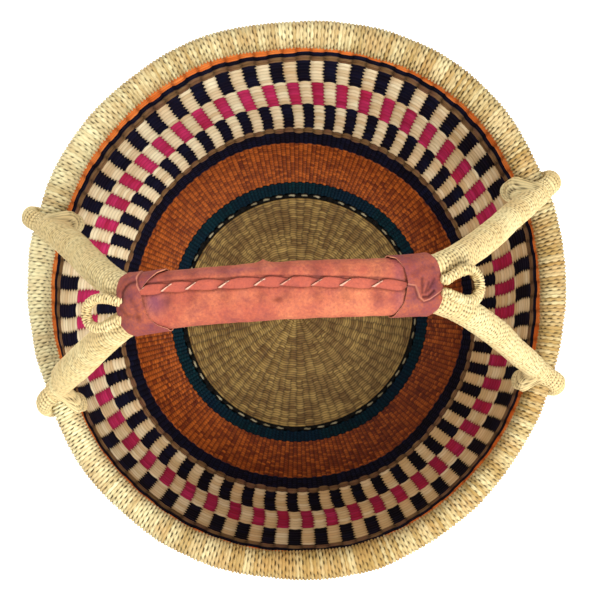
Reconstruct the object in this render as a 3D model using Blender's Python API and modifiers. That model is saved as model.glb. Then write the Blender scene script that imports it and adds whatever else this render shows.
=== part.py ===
import math

import bmesh
import bpy
from mathutils import Vector

# Bolga basket: a woven straw bowl with a bound rim and a double bound handle in a leather grip.
# Lengths are in metres, +Z is up, +X runs along the grip and +Y to the back of the basket.
# The origin is the centre of the base, on its underside.

# Bowl: a flat floor, a corner bend and a bowed side, all measured on the inside
FLOOR_RADIUS = 0.0832
CORNER_RADIUS = 0.079
SIDE_RADIUS = 0.325
CORNER_TURN = math.radians(60)
SIDE_TURN = math.radians(22.4)
WALL_THICKNESS = 0.005
OVAL_SHARE = 0.98  # width along the grip for each unit of width across it
STAKE_PAIRS = 54  # one facet round the bowl for each pair of stakes

# Rim: the stake ends and stiff grass make the core, and straw binds it
RIM_CORE_RADIUS = 0.0065
RIM_BINDING_THICKNESS = 0.00305

# Handle arches: a bundled core bound with straw, thinner where the foot wraps the rim
BAR_RADIUS = 0.0083
LEG_RADIUS = 0.0102
FOOT_RADIUS = 0.0067
LEG_SWELL_SHARE = 1.4  # power of the way along a leg: over 1 puts its thickest part nearer the rim
BINDING_THICKNESS = 0.0021
FOOT_CLEARANCE = 0.0005
FOOT_START = math.radians(70)  # angle on the rim's section where the leg lands
FOOT_END = math.radians(-215)  # and where the wrapped end stops, inside the rim

# Grip: where the two arches run side by side
GRIP_CENTRE_X = -0.010
GRIP_CENTRE_Y = -0.0019
GRIP_HEIGHT = 0.327
GRIP_DROP = 0.013  # how far the grip's ends lie under its middle
GRIP_HALF_LENGTH = 0.0995
GRIP_TURN = math.radians(3.8)
PARTING_SETBACK = 0.0145  # the bars start to part this far inside the collars' outer ends
LEG_LEAD = 0.01  # stretch of the grip that gives the leg its first direction
LEG_START_PULL = 0.1
LEG_END_PULL = 0.105

# Leather
LEATHER_THICKNESS = 0.0013
SEAM_WIDTH = 0.0012
SLEEVE_SETBACK = 0.002  # the sleeve stops this far short of where the bars part
COLLAR_LENGTH = 0.031
COLLAR_RIDGE = 0.0005
COLLAR_OUTER_BOW = 0.011  # the outer edge draws back this far at the sides of the grip
COLLAR_INNER_NOTCH = 0.009  # and the inner edge dips this far along the seam
LACE_WIDTH = 0.0082
LACE_THICKNESS = 0.0016
LACE_CLEARANCE = 0.0007
LACE_HALF_TWISTS = 9
LACE_EDGE_SHARE = 0.35  # width left where the strip is on edge
LACE_NOTCH_SHARE = 0.7  # how far into the collars' notches the strip runs

# Throat loops: a thin bound ring at each end of the grip
THROAT_RADIUS = 0.0039
THROAT_HALF_WIDTH = 0.0094
THROAT_REACH = 0.0235
THROAT_FALL = 0.004
THROAT_CLEARANCE = 0.0018
THROAT_ASIDE = -0.0025  # both loops sit a little to the front of the grip's line

# Running clearance between pieces that touch
GAP = 0.0003

# Bands of the bowl, each up to its share of the way from the floor's centre to the rim
BAND_END_SHARES = (
    ("floor_disc", 0.3464, "straw_floor"),
    ("dashed_round", 0.3597, "straw_dashed"),
    ("teal_band", 0.3932, "straw_teal"),
    ("orange_band", 0.5205, "straw_orange"),
    ("navy_band", 0.5652, "straw_navy"),
    ("brown_lower_round", 0.5809, "straw_brown"),
    ("check_row_lower", 0.6853, "straw_natural"),
    ("check_row_middle", 0.7870, "straw_pink"),
    ("check_row_upper", 0.8867, "straw_natural"),
    ("brown_upper_round", 0.9041, "straw_brown"),
    ("navy_upper_round", 0.9181, "straw_navy"),
    ("orange_top_band", 1.0, "straw_orange_top"),
)

# Feet: end of the grip (-1 left, 1 right), side of the grip (1 back, -1 front), angle round the rim
FEET = {
    "back_left": (-1, 1, math.radians(163.4)),
    "front_left": (-1, -1, math.radians(200.6)),
    "back_right": (1, 1, math.radians(24.8)),
    "front_right": (1, -1, math.radians(-16.6)),
}

# How far each leg bows aside, as a share of the way from the grip to the rim
LEG_BOW_SHARES = {"back_left": 0.035, "front_left": 0.042, "back_right": 0.015, "front_right": 0.02}

# Facets
BAND_FACET_TURN = math.radians(9.5)
RIM_OUTER_STEPS = 12
RIM_INNER_STEPS = 12
CORE_SECTION_STEPS = 8
FOOT_STEPS = 11
LEG_STEPS = 8
GRIP_STEPS = 8
TUBE_RESOLUTION = 2
TUBE_SIDES = 4 + 2 * TUBE_RESOLUTION
STADIUM_STEPS = 8
LACE_STEPS = 5
COLLAR_STEPS = 8
THROAT_STEPS = 8
MERGE_DISTANCE = 0.00001

COLOURS = {
    "straw_floor": (0.42, 0.31, 0.11),
    "straw_dashed": (0.06, 0.06, 0.05),
    "straw_teal": (0.01, 0.08, 0.09),
    "straw_orange": (0.46, 0.10, 0.015),
    "straw_navy": (0.014, 0.016, 0.035),
    "straw_brown": (0.20, 0.11, 0.04),
    "straw_natural": (0.64, 0.47, 0.22),
    "straw_pink": (0.52, 0.03, 0.13),
    "straw_orange_top": (0.78, 0.19, 0.03),
    "straw_bound": (0.78, 0.64, 0.34),
    "grass_core": (0.45, 0.33, 0.14),
    "leather_salmon": (0.60, 0.13, 0.07),
    "leather_red": (0.38, 0.06, 0.04),
}

BAR_STRAIGHT_HALF = GRIP_HALF_LENGTH - PARTING_SETBACK
WALL_LENGTH = FLOOR_RADIUS + CORNER_RADIUS * CORNER_TURN + SIDE_RADIUS * SIDE_TURN
RIM_INNER_RADIUS = RIM_CORE_RADIUS + GAP
RIM_OUTER_RADIUS = RIM_INNER_RADIUS + RIM_BINDING_THICKNESS
UP = Vector((0, 0, 1))


def clear_scene():
    for item in list(bpy.data.objects):
        bpy.data.objects.remove(item)


def new_collection(name):
    collection = bpy.data.collections.new(name)
    bpy.context.scene.collection.children.link(collection)
    return collection


def straw_or_leather(name):
    material = bpy.data.materials.get(name)
    if material is None:
        material = bpy.data.materials.new(name)
        material.use_nodes = True
        shader = material.node_tree.nodes["Principled BSDF"]
        shader.inputs["Base Color"].default_value = (*COLOURS[name], 1)
        shader.inputs["Roughness"].default_value = 0.5 if name.startswith("leather") else 0.7
        shader.inputs["Metallic"].default_value = 0
    return material


def add_piece(name, data, material, collection):
    piece = bpy.data.objects.new(name, data)
    data.materials.append(straw_or_leather(material))
    collection.objects.link(piece)
    return piece


# A point of the wall's profile, so far along the inside and so deep under it
def wall_point(along, depth):
    if along <= FLOOR_RADIUS:
        return Vector((along, 0, WALL_THICKNESS - depth))
    centre = Vector((FLOOR_RADIUS, 0, WALL_THICKNESS + CORNER_RADIUS))
    radius = CORNER_RADIUS
    turn = (along - FLOOR_RADIUS) / CORNER_RADIUS
    if turn > CORNER_TURN:
        shift = Vector((-math.sin(CORNER_TURN), 0, math.cos(CORNER_TURN)))
        centre += shift * (SIDE_RADIUS - CORNER_RADIUS)
        radius = SIDE_RADIUS
        turn = CORNER_TURN + (along - FLOOR_RADIUS - CORNER_RADIUS * CORNER_TURN) / SIDE_RADIUS
    return centre + Vector((math.sin(turn), 0, -math.cos(turn))) * (radius + depth)


# How steeply the wall stands at a distance along its inside
def wall_turn(along):
    corner = min(max(along - FLOOR_RADIUS, 0) / CORNER_RADIUS, CORNER_TURN)
    return corner + max(along - FLOOR_RADIUS - CORNER_RADIUS * CORNER_TURN, 0) / SIDE_RADIUS


def rim_section_centre():
    top = wall_point(WALL_LENGTH, WALL_THICKNESS / 2)
    turn = CORNER_TURN + SIDE_TURN
    return top + Vector((math.cos(turn), 0, math.sin(turn))) * RIM_INNER_RADIUS


# A profile turned round the basket's axis, then made slightly oval
def turned(name, profile, closed, material, collection):
    mesh = bpy.data.meshes.new(name)
    shape = bmesh.new()
    corners = [shape.verts.new(point) for point in profile]
    for first, second in zip(corners, corners[1:]):
        shape.edges.new((first, second))
    if closed:
        shape.edges.new((corners[-1], corners[0]))
    shape.to_mesh(mesh)
    shape.free()
    piece = add_piece(name, mesh, material, collection)
    screw = piece.modifiers.new("turn", "SCREW")
    screw.steps = STAKE_PAIRS
    screw.render_steps = STAKE_PAIRS
    screw.use_merge_vertices = True
    screw.merge_threshold = MERGE_DISTANCE
    piece.scale.x = OVAL_SHARE
    return piece


# One woven band: up the inside of the wall and down its outside
def band(name, start_share, end_share, material, collection):
    start = start_share * WALL_LENGTH + (GAP / 2 if start_share else 0)
    end = end_share * WALL_LENGTH - (GAP / 2 if end_share < 1 else 0)
    bends = [start]
    if start < FLOOR_RADIUS < end:
        bends.append(FLOOR_RADIUS)
    steps = max(1, round((wall_turn(end) - wall_turn(start)) / BAND_FACET_TURN))
    bends += [bends[-1] + (end - bends[-1]) * step / steps for step in range(1, steps + 1)]
    profile = [wall_point(along, 0) for along in bends]
    profile += [wall_point(along, WALL_THICKNESS) for along in reversed(bends)]
    return turned(name, profile, start > 0, material, collection)


def make_bowl(collection):
    start_share = 0
    bands = {}
    for name, end_share, material in BAND_END_SHARES:
        bands[name] = band(name, start_share, end_share, material, collection)
        start_share = end_share
    return bands


def make_rim(collection):
    centre = rim_section_centre()
    bpy.ops.mesh.primitive_torus_add(
        major_radius=centre.x,
        minor_radius=RIM_CORE_RADIUS,
        major_segments=STAKE_PAIRS,
        minor_segments=CORE_SECTION_STEPS,
        location=(0, 0, centre.z),
    )
    core = bpy.context.object
    core.name = "rim_core"
    core.scale.x = OVAL_SHARE
    core.data.materials.append(straw_or_leather("grass_core"))
    for owner in list(core.users_collection):
        owner.objects.unlink(core)
    collection.objects.link(core)

    # The binding is open underneath, where the wall comes up through it to the core
    slit = CORNER_TURN + SIDE_TURN + math.pi
    half_slit = WALL_THICKNESS / 2 + GAP + RIM_BINDING_THICKNESS ** 2 / SIDE_RADIUS
    profile = []
    sides = ((RIM_OUTER_RADIUS, -1, RIM_OUTER_STEPS), (RIM_INNER_RADIUS, 1, RIM_INNER_STEPS))
    for radius, direction, steps in sides:
        edge = math.asin(half_slit / radius)
        for step in range(steps + 1):
            angle = slit + direction * (edge + (2 * math.pi - 2 * edge) * step / steps)
            profile.append(centre + Vector((math.cos(angle), 0, math.sin(angle))) * radius)
    turned("rim_binding", profile, True, "straw_bound", collection)


# Place on the rim's centre line, and the direction straight out of the rim there
def rim_frame(angle):
    centre = rim_section_centre()
    place = Vector((OVAL_SHARE * centre.x * math.cos(angle), centre.x * math.sin(angle), centre.z))
    out = Vector((math.cos(angle) / OVAL_SHARE, math.sin(angle), 0)).normalized()
    return place, out


# A foot's wrap: over the rim, down outside, under through the wall and up inside
def foot_points(foot_name):
    end, side, angle = FEET[foot_name]
    reach = RIM_OUTER_RADIUS + FOOT_CLEARANCE + FOOT_RADIUS
    step_aside = (2 * FOOT_RADIUS + FOOT_CLEARANCE) / rim_section_centre().x
    points = []
    for step in range(FOOT_STEPS + 1):
        way = step / FOOT_STEPS
        place, out = rim_frame(angle + end * side * step_aside * (1 - (1 - way) ** 2))
        around = FOOT_START + (FOOT_END - FOOT_START) * way
        points.append(place + (out * math.cos(around) + UP * math.sin(around)) * reach)
    return points


def grip_line():
    return Vector((math.cos(GRIP_TURN), math.sin(GRIP_TURN), 0))


def grip_line_aside():
    return UP.cross(grip_line())


# A place on the grip: distance along it, distance aside towards the back, and height over it
def grip_point(along, aside, above=0.0):
    centre = Vector((GRIP_CENTRE_X, GRIP_CENTRE_Y, GRIP_HEIGHT))
    line = grip_line()
    drop = GRIP_DROP * (along / GRIP_HALF_LENGTH) ** 2
    slope = -2 * GRIP_DROP * along / GRIP_HALF_LENGTH ** 2
    upright = (UP - line * slope).normalized()
    return centre + line * along + grip_line_aside() * aside - UP * drop + upright * above


def bar_offset():
    return BAR_RADIUS + GAP


# A leg leaves the grip in line with it and lands on the rim in line with the foot's wrap
def leg_points(foot_name, foot):
    end, side, _ = FEET[foot_name]
    start = grip_point(end * BAR_STRAIGHT_HALF, side * bar_offset())
    inside = grip_point(end * (BAR_STRAIGHT_HALF - LEG_LEAD), side * bar_offset())
    start_pull = (start - inside).normalized() * LEG_START_PULL
    end_pull = (foot[1] - foot[0]).normalized() * LEG_END_PULL
    finish = foot[0]
    bow = grip_line_aside() * side * LEG_BOW_SHARES[foot_name] * (finish - start).length
    points = []
    for step in range(LEG_STEPS):
        t = step / LEG_STEPS
        points.append(
            start * (1 - t) ** 2 * (1 + 2 * t)
            + start_pull * t * (1 - t) ** 2
            + finish * t ** 2 * (3 - 2 * t)
            + end_pull * t ** 2 * (t - 1)
            + bow * (4 * t * (1 - t)) ** 2
        )
    return points


# Centre line and radii of one side of an arch, from the grip out to the end of the foot
def half_arch(foot_name):
    foot = foot_points(foot_name)
    leg = leg_points(foot_name, foot)
    radii = []
    for step in range(LEG_STEPS):
        t = step / LEG_STEPS
        swell = BAR_RADIUS + (LEG_RADIUS - BAR_RADIUS) * math.sin(math.pi * t ** LEG_SWELL_SHARE)
        radii.append(swell + (FOOT_RADIUS - BAR_RADIUS) * t ** 3)
    return leg + foot, radii + [FOOT_RADIUS] * len(foot)


def whole_arch(side, left_foot, right_foot):
    left, left_radii = half_arch(left_foot)
    right, right_radii = half_arch(right_foot)
    middle = []
    for step in range(1, GRIP_STEPS):
        along = BAR_STRAIGHT_HALF * (2 * step / GRIP_STEPS - 1)
        middle.append(grip_point(along, side * bar_offset()))
    points = left[::-1] + middle + right
    return points, left_radii[::-1] + [BAR_RADIUS] * len(middle) + right_radii


def tube_curve(name, points, radii, capped):
    curve = bpy.data.curves.new(name, "CURVE")
    curve.dimensions = "3D"
    curve.bevel_depth = radii[0]
    curve.bevel_resolution = TUBE_RESOLUTION
    curve.use_fill_caps = capped
    spline = curve.splines.new("POLY")
    spline.points.add(len(points) - 1)
    for place, point, radius in zip(spline.points, points, radii):
        place.co = (*point, 1)
        place.radius = radius / radii[0]
    return curve


# A tube as a mesh with its caps welded on, for use as a cutter
def tube_cutter(name, points, radii, collection):
    guide = bpy.data.objects.new(name, tube_curve(name, points, radii, True))
    collection.objects.link(guide)
    bpy.context.view_layer.update()
    evaluated = guide.evaluated_get(bpy.context.evaluated_depsgraph_get())
    mesh = bpy.data.meshes.new_from_object(evaluated)
    bpy.data.objects.remove(guide)
    shape = bmesh.new()
    shape.from_mesh(mesh)
    bmesh.ops.remove_doubles(shape, verts=shape.verts, dist=MERGE_DISTANCE)
    shape.to_mesh(mesh)
    shape.free()
    cutter = bpy.data.objects.new(name, mesh)
    collection.objects.link(cutter)
    cutter.hide_render = True
    cutter.display_type = "WIRE"
    return cutter


# Each foot passes through a hole in the top band, just under the rim
def cut_foot_holes(top_band, cutters):
    for foot_name in FEET:
        points = foot_points(foot_name)
        radii = [FOOT_RADIUS + FOOT_CLEARANCE] * len(points)
        hole = top_band.modifiers.new(foot_name + "_hole", "BOOLEAN")
        hole.operation = "DIFFERENCE"
        hole.solver = "EXACT"
        hole.object = tube_cutter(foot_name + "_hole", points, radii, cutters)


def make_arches(collection):
    # The sides of the tubes are flat, so a wall of even thickness takes more off the corners
    corner = 1 / math.cos(math.pi / TUBE_SIDES)
    for name, side in (("back", 1), ("front", -1)):
        points, radii = whole_arch(side, name + "_left", name + "_right")
        binding_curve = tube_curve(name + "_arch_binding", points, radii, False)
        binding = add_piece(name + "_arch_binding", binding_curve, "straw_bound", collection)
        wall = binding.modifiers.new("wall", "SOLIDIFY")
        wall.thickness = BINDING_THICKNESS
        wall.offset = -1
        wall.use_even_offset = True
        core_radii = [radius - (BINDING_THICKNESS + GAP) * corner for radius in radii]
        core_curve = tube_curve(name + "_arch_core", points, core_radii, True)
        add_piece(name + "_arch_core", core_curve, "grass_core", collection)


# Half a flat oval section, from its top middle round one side to its bottom middle
def stadium_half(half_spacing, radius, half_slit):
    corners = [(half_slit, radius)]
    for step in range(STADIUM_STEPS + 1):
        angle = math.pi / 2 - math.pi * step / STADIUM_STEPS
        corners.append((half_spacing + radius * math.cos(angle), radius * math.sin(angle)))
    return corners


# A wall lofted along the grip between an outer and an inner row of closed sections
def loft(name, sections, capped, material, collection):
    shape = bmesh.new()
    rings = [[shape.verts.new(point) for point in section] for section in sections]
    pairs = list(zip(rings, rings[1:]))
    if capped:
        shape.faces.new(rings[0])
        shape.faces.new(rings[-1])
    else:
        pairs.append((rings[-1], rings[0]))
    for first, second in pairs:
        for corner, point in enumerate(first):
            beyond = (corner + 1) % len(first)
            shape.faces.new((point, first[beyond], second[beyond], second[corner]))
    bmesh.ops.recalc_face_normals(shape, faces=shape.faces)
    mesh = bpy.data.meshes.new(name)
    shape.to_mesh(mesh)
    shape.free()
    mesh.shade_smooth()
    mesh.set_sharp_from_angle(angle=math.radians(40))
    return add_piece(name, mesh, material, collection)


# The sleeve is wrapped round both bars, and its edges nearly meet along the top
def make_sleeve(collection):
    inner_radius = BAR_RADIUS + GAP
    sections = []
    limit = BAR_STRAIGHT_HALF - SLEEVE_SETBACK
    for step in range(GRIP_STEPS + 1):
        along = BAR_STRAIGHT_HALF * (2 * step / GRIP_STEPS - 1)
        along = max(-limit, min(limit, along))
        outside = stadium_half(bar_offset(), inner_radius + LEATHER_THICKNESS, SEAM_WIDTH / 2)
        inside = stadium_half(bar_offset(), inner_radius, SEAM_WIDTH / 2)
        outline = outside + [(-aside, above) for aside, above in reversed(outside)]
        outline += [(-aside, above) for aside, above in inside] + inside[::-1]
        sections.append([grip_point(along, aside, above) for aside, above in outline])
    loft("leather_sleeve", sections, True, "leather_salmon", collection)


# How far aside of the grip's line, and how far over it, a bar lies at a distance from the middle
def bar_place(foot_name, distance):
    end, side, _ = FEET[foot_name]
    if distance <= BAR_STRAIGHT_HALF:
        return side * bar_offset(), 0
    line = grip_line()
    middle = grip_point(0, 0)
    leg = leg_points(foot_name, foot_points(foot_name))
    for first, second in zip(leg, leg[1:]):
        reached = (second - middle).dot(line) * end
        if reached >= distance:
            start = (first - middle).dot(line) * end
            place = first.lerp(second, (distance - start) / (reached - start))
            below = grip_point(end * distance, 0)
            return (place - middle).dot(grip_line_aside()), place.z - below.z
    return side * bar_offset(), 0


# Middle and half spacing of the two bars at a distance from the grip's middle
def bars_at(end_name, distance):
    back_aside, back_above = bar_place("back_" + end_name, distance)
    front_aside, front_above = bar_place("front_" + end_name, distance)
    return (back_aside + front_aside) / 2, (back_above + front_above) / 2, (back_aside - front_aside) / 2


# One ring of a collar: its edges bow, so each corner has its own distance along the grip
def collar_ring(end_name, end, way, radius):
    nominal = GRIP_HALF_LENGTH - COLLAR_LENGTH * (1 - way)
    width = bars_at(end_name, nominal)[2] + radius
    count = len(stadium_half(0, radius, 0))
    ring = []
    for side, corners in ((1, range(count)), (-1, range(count - 1, 0, -1))):
        for corner in corners:
            aside_share = stadium_half(width - radius, radius, 0)[corner][0] / width
            distance = nominal - COLLAR_OUTER_BOW * way * aside_share ** 2
            distance += COLLAR_INNER_NOTCH * (1 - way) * (1 - aside_share ** 2) ** 2
            aside_middle, above_middle, half_spacing = bars_at(end_name, distance)
            aside, above = stadium_half(half_spacing, radius, 0)[corner]
            aside = side * aside + aside_middle
            ring.append(grip_point(end * distance, aside, above + above_middle))
    return ring


# A collar is a leather strip drawn tight round the sleeve's end and the parting bars
def make_collar(end_name, end, collection):
    seat = BAR_RADIUS + LEATHER_THICKNESS + 2 * GAP
    rings = []
    for step in range(COLLAR_STEPS + 1):
        way = step / COLLAR_STEPS
        ridge = COLLAR_RIDGE * abs(math.sin(2 * math.pi * way))
        rings.append(collar_ring(end_name, end, way, seat + LEATHER_THICKNESS + ridge))
    for step in range(COLLAR_STEPS, -1, -1):
        rings.append(collar_ring(end_name, end, step / COLLAR_STEPS, seat))
    loft(end_name + "_collar", rings, False, "leather_red", collection)


# The lace is a flat strip twisted along the seam, pressed flatter where it stands on edge
def make_lace(collection):
    half_length = GRIP_HALF_LENGTH - COLLAR_LENGTH - LACE_CLEARANCE
    half_length += LACE_NOTCH_SHARE * COLLAR_INNER_NOTCH
    sleeve_top = BAR_RADIUS + GAP + LEATHER_THICKNESS + GAP
    curve = bpy.data.curves.new("leather_lace", "CURVE")
    curve.dimensions = "3D"
    curve.twist_mode = "Z_UP"
    curve.extrude = (LACE_WIDTH - LACE_THICKNESS) / 2
    curve.bevel_depth = LACE_THICKNESS / 2
    curve.bevel_resolution = 1
    curve.use_fill_caps = True
    spline = curve.splines.new("POLY")
    count = LACE_HALF_TWISTS * LACE_STEPS
    spline.points.add(count)
    for step, place in enumerate(spline.points):
        turn = math.pi * step / LACE_STEPS
        pressed = LACE_EDGE_SHARE + (1 - LACE_EDGE_SHARE) * abs(math.cos(turn))
        rise = (LACE_THICKNESS / 2 + curve.extrude * abs(math.sin(turn))) * pressed
        along = half_length * (2 * step / count - 1)
        place.co = (*grip_point(along, 0, sleeve_top + rise), 1)
        place.radius = pressed
        place.tilt = math.pi / 2 + turn
    add_piece("leather_lace", curve, "leather_salmon", collection)


# A throat loop leans on the two legs, with both ends against the collar's edge
def make_throat_loop(end_name, end, collection):
    start = GRIP_HALF_LENGTH + GAP
    above_bars = max(bar_place(side + end_name, start)[1] for side in ("back_", "front_"))
    above = above_bars + BAR_RADIUS + THROAT_RADIUS + THROAT_CLEARANCE
    straight = THROAT_REACH - THROAT_HALF_WIDTH
    route = [(start, THROAT_HALF_WIDTH)]
    for step in range(THROAT_STEPS + 1):
        angle = math.pi * step / THROAT_STEPS
        aside = THROAT_HALF_WIDTH * math.cos(angle)
        route.append((start + straight + THROAT_HALF_WIDTH * math.sin(angle), aside))
    route.append((start, -THROAT_HALF_WIDTH))
    points = []
    for distance, aside in route:
        fall = THROAT_FALL * ((distance - start) / THROAT_REACH) ** 2
        points.append(grip_point(end * distance, aside + THROAT_ASIDE, above - fall))
    curve = tube_curve(end_name + "_throat_loop", points, [THROAT_RADIUS] * len(points), True)
    add_piece(end_name + "_throat_loop", curve, "straw_bound", collection)


def main():
    clear_scene()
    basket = new_collection("bolga_basket")
    cutters = new_collection("cutters")
    bands = make_bowl(basket)
    make_rim(basket)
    cut_foot_holes(bands["orange_top_band"], cutters)
    make_arches(basket)
    make_sleeve(basket)
    make_lace(basket)
    for end_name, end in (("left", -1), ("right", 1)):
        make_collar(end_name, end, basket)
        make_throat_loop(end_name, end, basket)


main()
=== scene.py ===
import math

import bmesh
import bpy
import numpy as np
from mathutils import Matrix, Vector


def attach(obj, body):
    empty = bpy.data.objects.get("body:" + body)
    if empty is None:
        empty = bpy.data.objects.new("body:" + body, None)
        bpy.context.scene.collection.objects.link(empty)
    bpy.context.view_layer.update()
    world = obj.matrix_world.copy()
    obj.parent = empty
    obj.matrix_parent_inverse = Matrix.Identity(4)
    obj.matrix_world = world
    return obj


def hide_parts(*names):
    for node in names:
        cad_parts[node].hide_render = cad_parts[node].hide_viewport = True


# Bolga basket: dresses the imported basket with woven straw, bound straw and leather.
# Metres, +Z up, +X along the grip, +Y to the back, origin under the middle of the base.

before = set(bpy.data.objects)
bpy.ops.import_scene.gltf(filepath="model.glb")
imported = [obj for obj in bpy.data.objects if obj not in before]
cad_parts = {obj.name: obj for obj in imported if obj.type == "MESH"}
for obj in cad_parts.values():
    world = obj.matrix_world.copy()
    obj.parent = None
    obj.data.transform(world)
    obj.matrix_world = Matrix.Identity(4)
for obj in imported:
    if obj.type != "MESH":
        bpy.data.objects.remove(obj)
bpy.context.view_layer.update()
fullTurn = 2 * math.pi


def toLinear(hexCode):
    channels = [int(hexCode[place:place + 2], 16) / 255 for place in (0, 2, 4)]
    linear = [c / 12.92 if c <= 0.04045 else ((c + 0.055) / 1.055) ** 2.4 for c in channels]
    return (*linear, 1)


# An input is a value, a colour's hex code or another node's output
def addNode(tree, kind, inputs=None, **settings):
    node = tree.nodes.new("ShaderNode" + kind)
    for setting, value in settings.items():
        setattr(node, setting, value)
    for socket, source in (inputs or {}).items():
        if isinstance(source, bpy.types.NodeSocket):
            tree.links.new(source, node.inputs[socket])
        else:
            node.inputs[socket].default_value = toLinear(source) if isinstance(source, str) else source
    return node


def addMath(tree, operation, *inputs, clamp=False):
    return addNode(tree, "Math", dict(enumerate(inputs)), operation=operation,
                   use_clamp=clamp).outputs[0]


def addMix(tree, share, start, end, **settings):
    return addNode(tree, "Mix", {0: share, 6: start, 7: end}, data_type="RGBA", **settings).outputs[2]


def addNoise(tree, place, size, detail, roughness, **more):
    return addNode(tree, "TexNoise", {"Vector": place, "Scale": 1 / size, "Detail": detail,
                                      "Roughness": roughness, **more}).outputs["Fac"]


def addSpread(tree, source, low, high, most):
    return addNode(tree, "MapRange", {0: source, 1: low, 2: high, 3: 0.0, 4: most}).outputs[0]


def addBump(tree, height, strength, distance, **more):
    return addNode(tree, "Bump", {"Height": height, "Strength": strength, "Distance": distance,
                                  **more}).outputs[0]


def onPiece(tree, attribute):
    return addNode(tree, "Attribute", attribute_name=attribute).outputs["Fac"]


def newMaterial(name):
    material = bpy.data.materials.new(name)
    material.use_nodes = True
    return material, material.node_tree, material.node_tree.nodes["Principled BSDF"]


def endMaterial(tree, shader, colour, normal, roughness, shine):
    tree.links.new(colour, shader.inputs["Base Color"])
    tree.links.new(normal, shader.inputs["Normal"])
    shader.inputs["Roughness"].default_value = roughness
    shader.inputs["Specular IOR Level"].default_value = shine


# Camera, floor and light
photoView = {
    "target": (0.0030, 0.0011, 0.172), "place": (0.0030, -0.0430, 1.071), "lens": 73.2, "sensor": 36,
}
# Soft light: a broad key from the front right, a fill from the back left, and a pale room
lightSetup = {
    "roomStrength": 0.68, "aim": (0, 0, 0.12),
    "keyLight": ((0.75, -0.80, 1.65), 0.8, 41.0),  # place, size and power
    "fillLight": ((-1.00, 0.80, 1.30), 1.2, 13.0),
}
paperLook = {"size": 4, "colour": "f4f3f0", "roughness": 0.9, "glow": 0.7}


def standAt(name, data, place, aim):
    holder = bpy.data.objects.new(name, data)
    holder.location = place
    holder.rotation_euler = (Vector(aim) - Vector(place)).to_track_quat("-Z", "Y").to_euler()
    bpy.context.scene.collection.objects.link(holder)
    return holder


camera = standAt("camera", bpy.data.cameras.new("camera"), photoView["place"], photoView["target"])
camera.data.lens = photoView["lens"]
camera.data.sensor_width = photoView["sensor"]
bpy.context.scene.camera = camera
bpy.context.scene.view_settings.view_transform = "Standard"
print("camera set")

for lampName in ("keyLight", "fillLight"):
    lampPlace, lampSize, lampPower = lightSetup[lampName]
    lamp = bpy.data.lights.new(lampName, "AREA")
    lamp.size = lampSize
    lamp.energy = lampPower
    standAt(lampName, lamp, lampPlace, lightSetup["aim"])

world = bpy.data.worlds.new("paleRoom")
world.use_nodes = True
bpy.context.scene.world = world
roomTree = world.node_tree
roomLight = roomTree.nodes["Background"]
roomLight.inputs["Color"].default_value = toLinear("ffffff")
roomLight.inputs["Strength"].default_value = lightSetup["roomStrength"]
seenRoom = addNode(roomTree, "Background", {"Color": "ffffff", "Strength": 1.0})
ray = addNode(roomTree, "LightPath").outputs
seenOrShiny = addMath(roomTree, "MAXIMUM", ray["Is Camera Ray"], ray["Is Glossy Ray"])
seenDirect = addMath(roomTree, "MAXIMUM", seenOrShiny, ray["Is Transmission Ray"])
roomMix = addNode(roomTree, "MixShader", {0: seenDirect, 1: roomLight.outputs[0],
                                          2: seenRoom.outputs[0]})
roomTree.links.new(roomMix.outputs[0], roomTree.nodes["World Output"].inputs["Surface"])

# Matt white paper, seen as plain white but still catching the basket's shadow
floorMesh = bpy.data.meshes.new("paperFloor")
floorShape = bmesh.new()
bmesh.ops.create_grid(floorShape, x_segments=2, y_segments=2, size=paperLook["size"])
floorShape.to_mesh(floorMesh)
floorShape.free()
paperFloor = bpy.data.objects.new("paperFloor", floorMesh)
bpy.context.scene.collection.objects.link(paperFloor)
paper, paperTree, paperShader = newMaterial("mattWhitePaper")
paperShader.inputs["Base Color"].default_value = toLinear(paperLook["colour"])
paperShader.inputs["Roughness"].default_value = paperLook["roughness"]
paperGlow = addNode(paperTree, "Emission", {"Color": "ffffff", "Strength": paperLook["glow"]})
paperRay = addNode(paperTree, "LightPath").outputs["Is Camera Ray"]
paperSum = addNode(paperTree, "AddShader", {0: paperShader.outputs[0], 1: paperGlow.outputs[0]})
paperMix = addNode(paperTree, "MixShader", {0: paperRay, 1: paperShader.outputs[0],
                                            2: paperSum.outputs[0]})
paperTree.links.new(paperMix.outputs[0], paperTree.nodes["Material Output"].inputs["Surface"])
floorMesh.materials.append(paper)
print("floor and lights set")


# Straw finishes
# Elephant grass straw, split, twisted and dyed in the pot: matt with a waxy glint along the
# fibre, uneven colour from strand to strand, and painted shade in the gaps and pits between strands.
# The strands are 2 to 4.5 mm wide and their fibres 0.15 to 0.3 mm, drawn at 0.6 mm to show.
strawLook = {
    "fibre": (0.009, 0.0006), "contrast": 1.3, "level": 0.12, "roughness": 0.6,
    "bump": (0.35, 0.0004), "patches": (0.42, 0.66),
}


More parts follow.
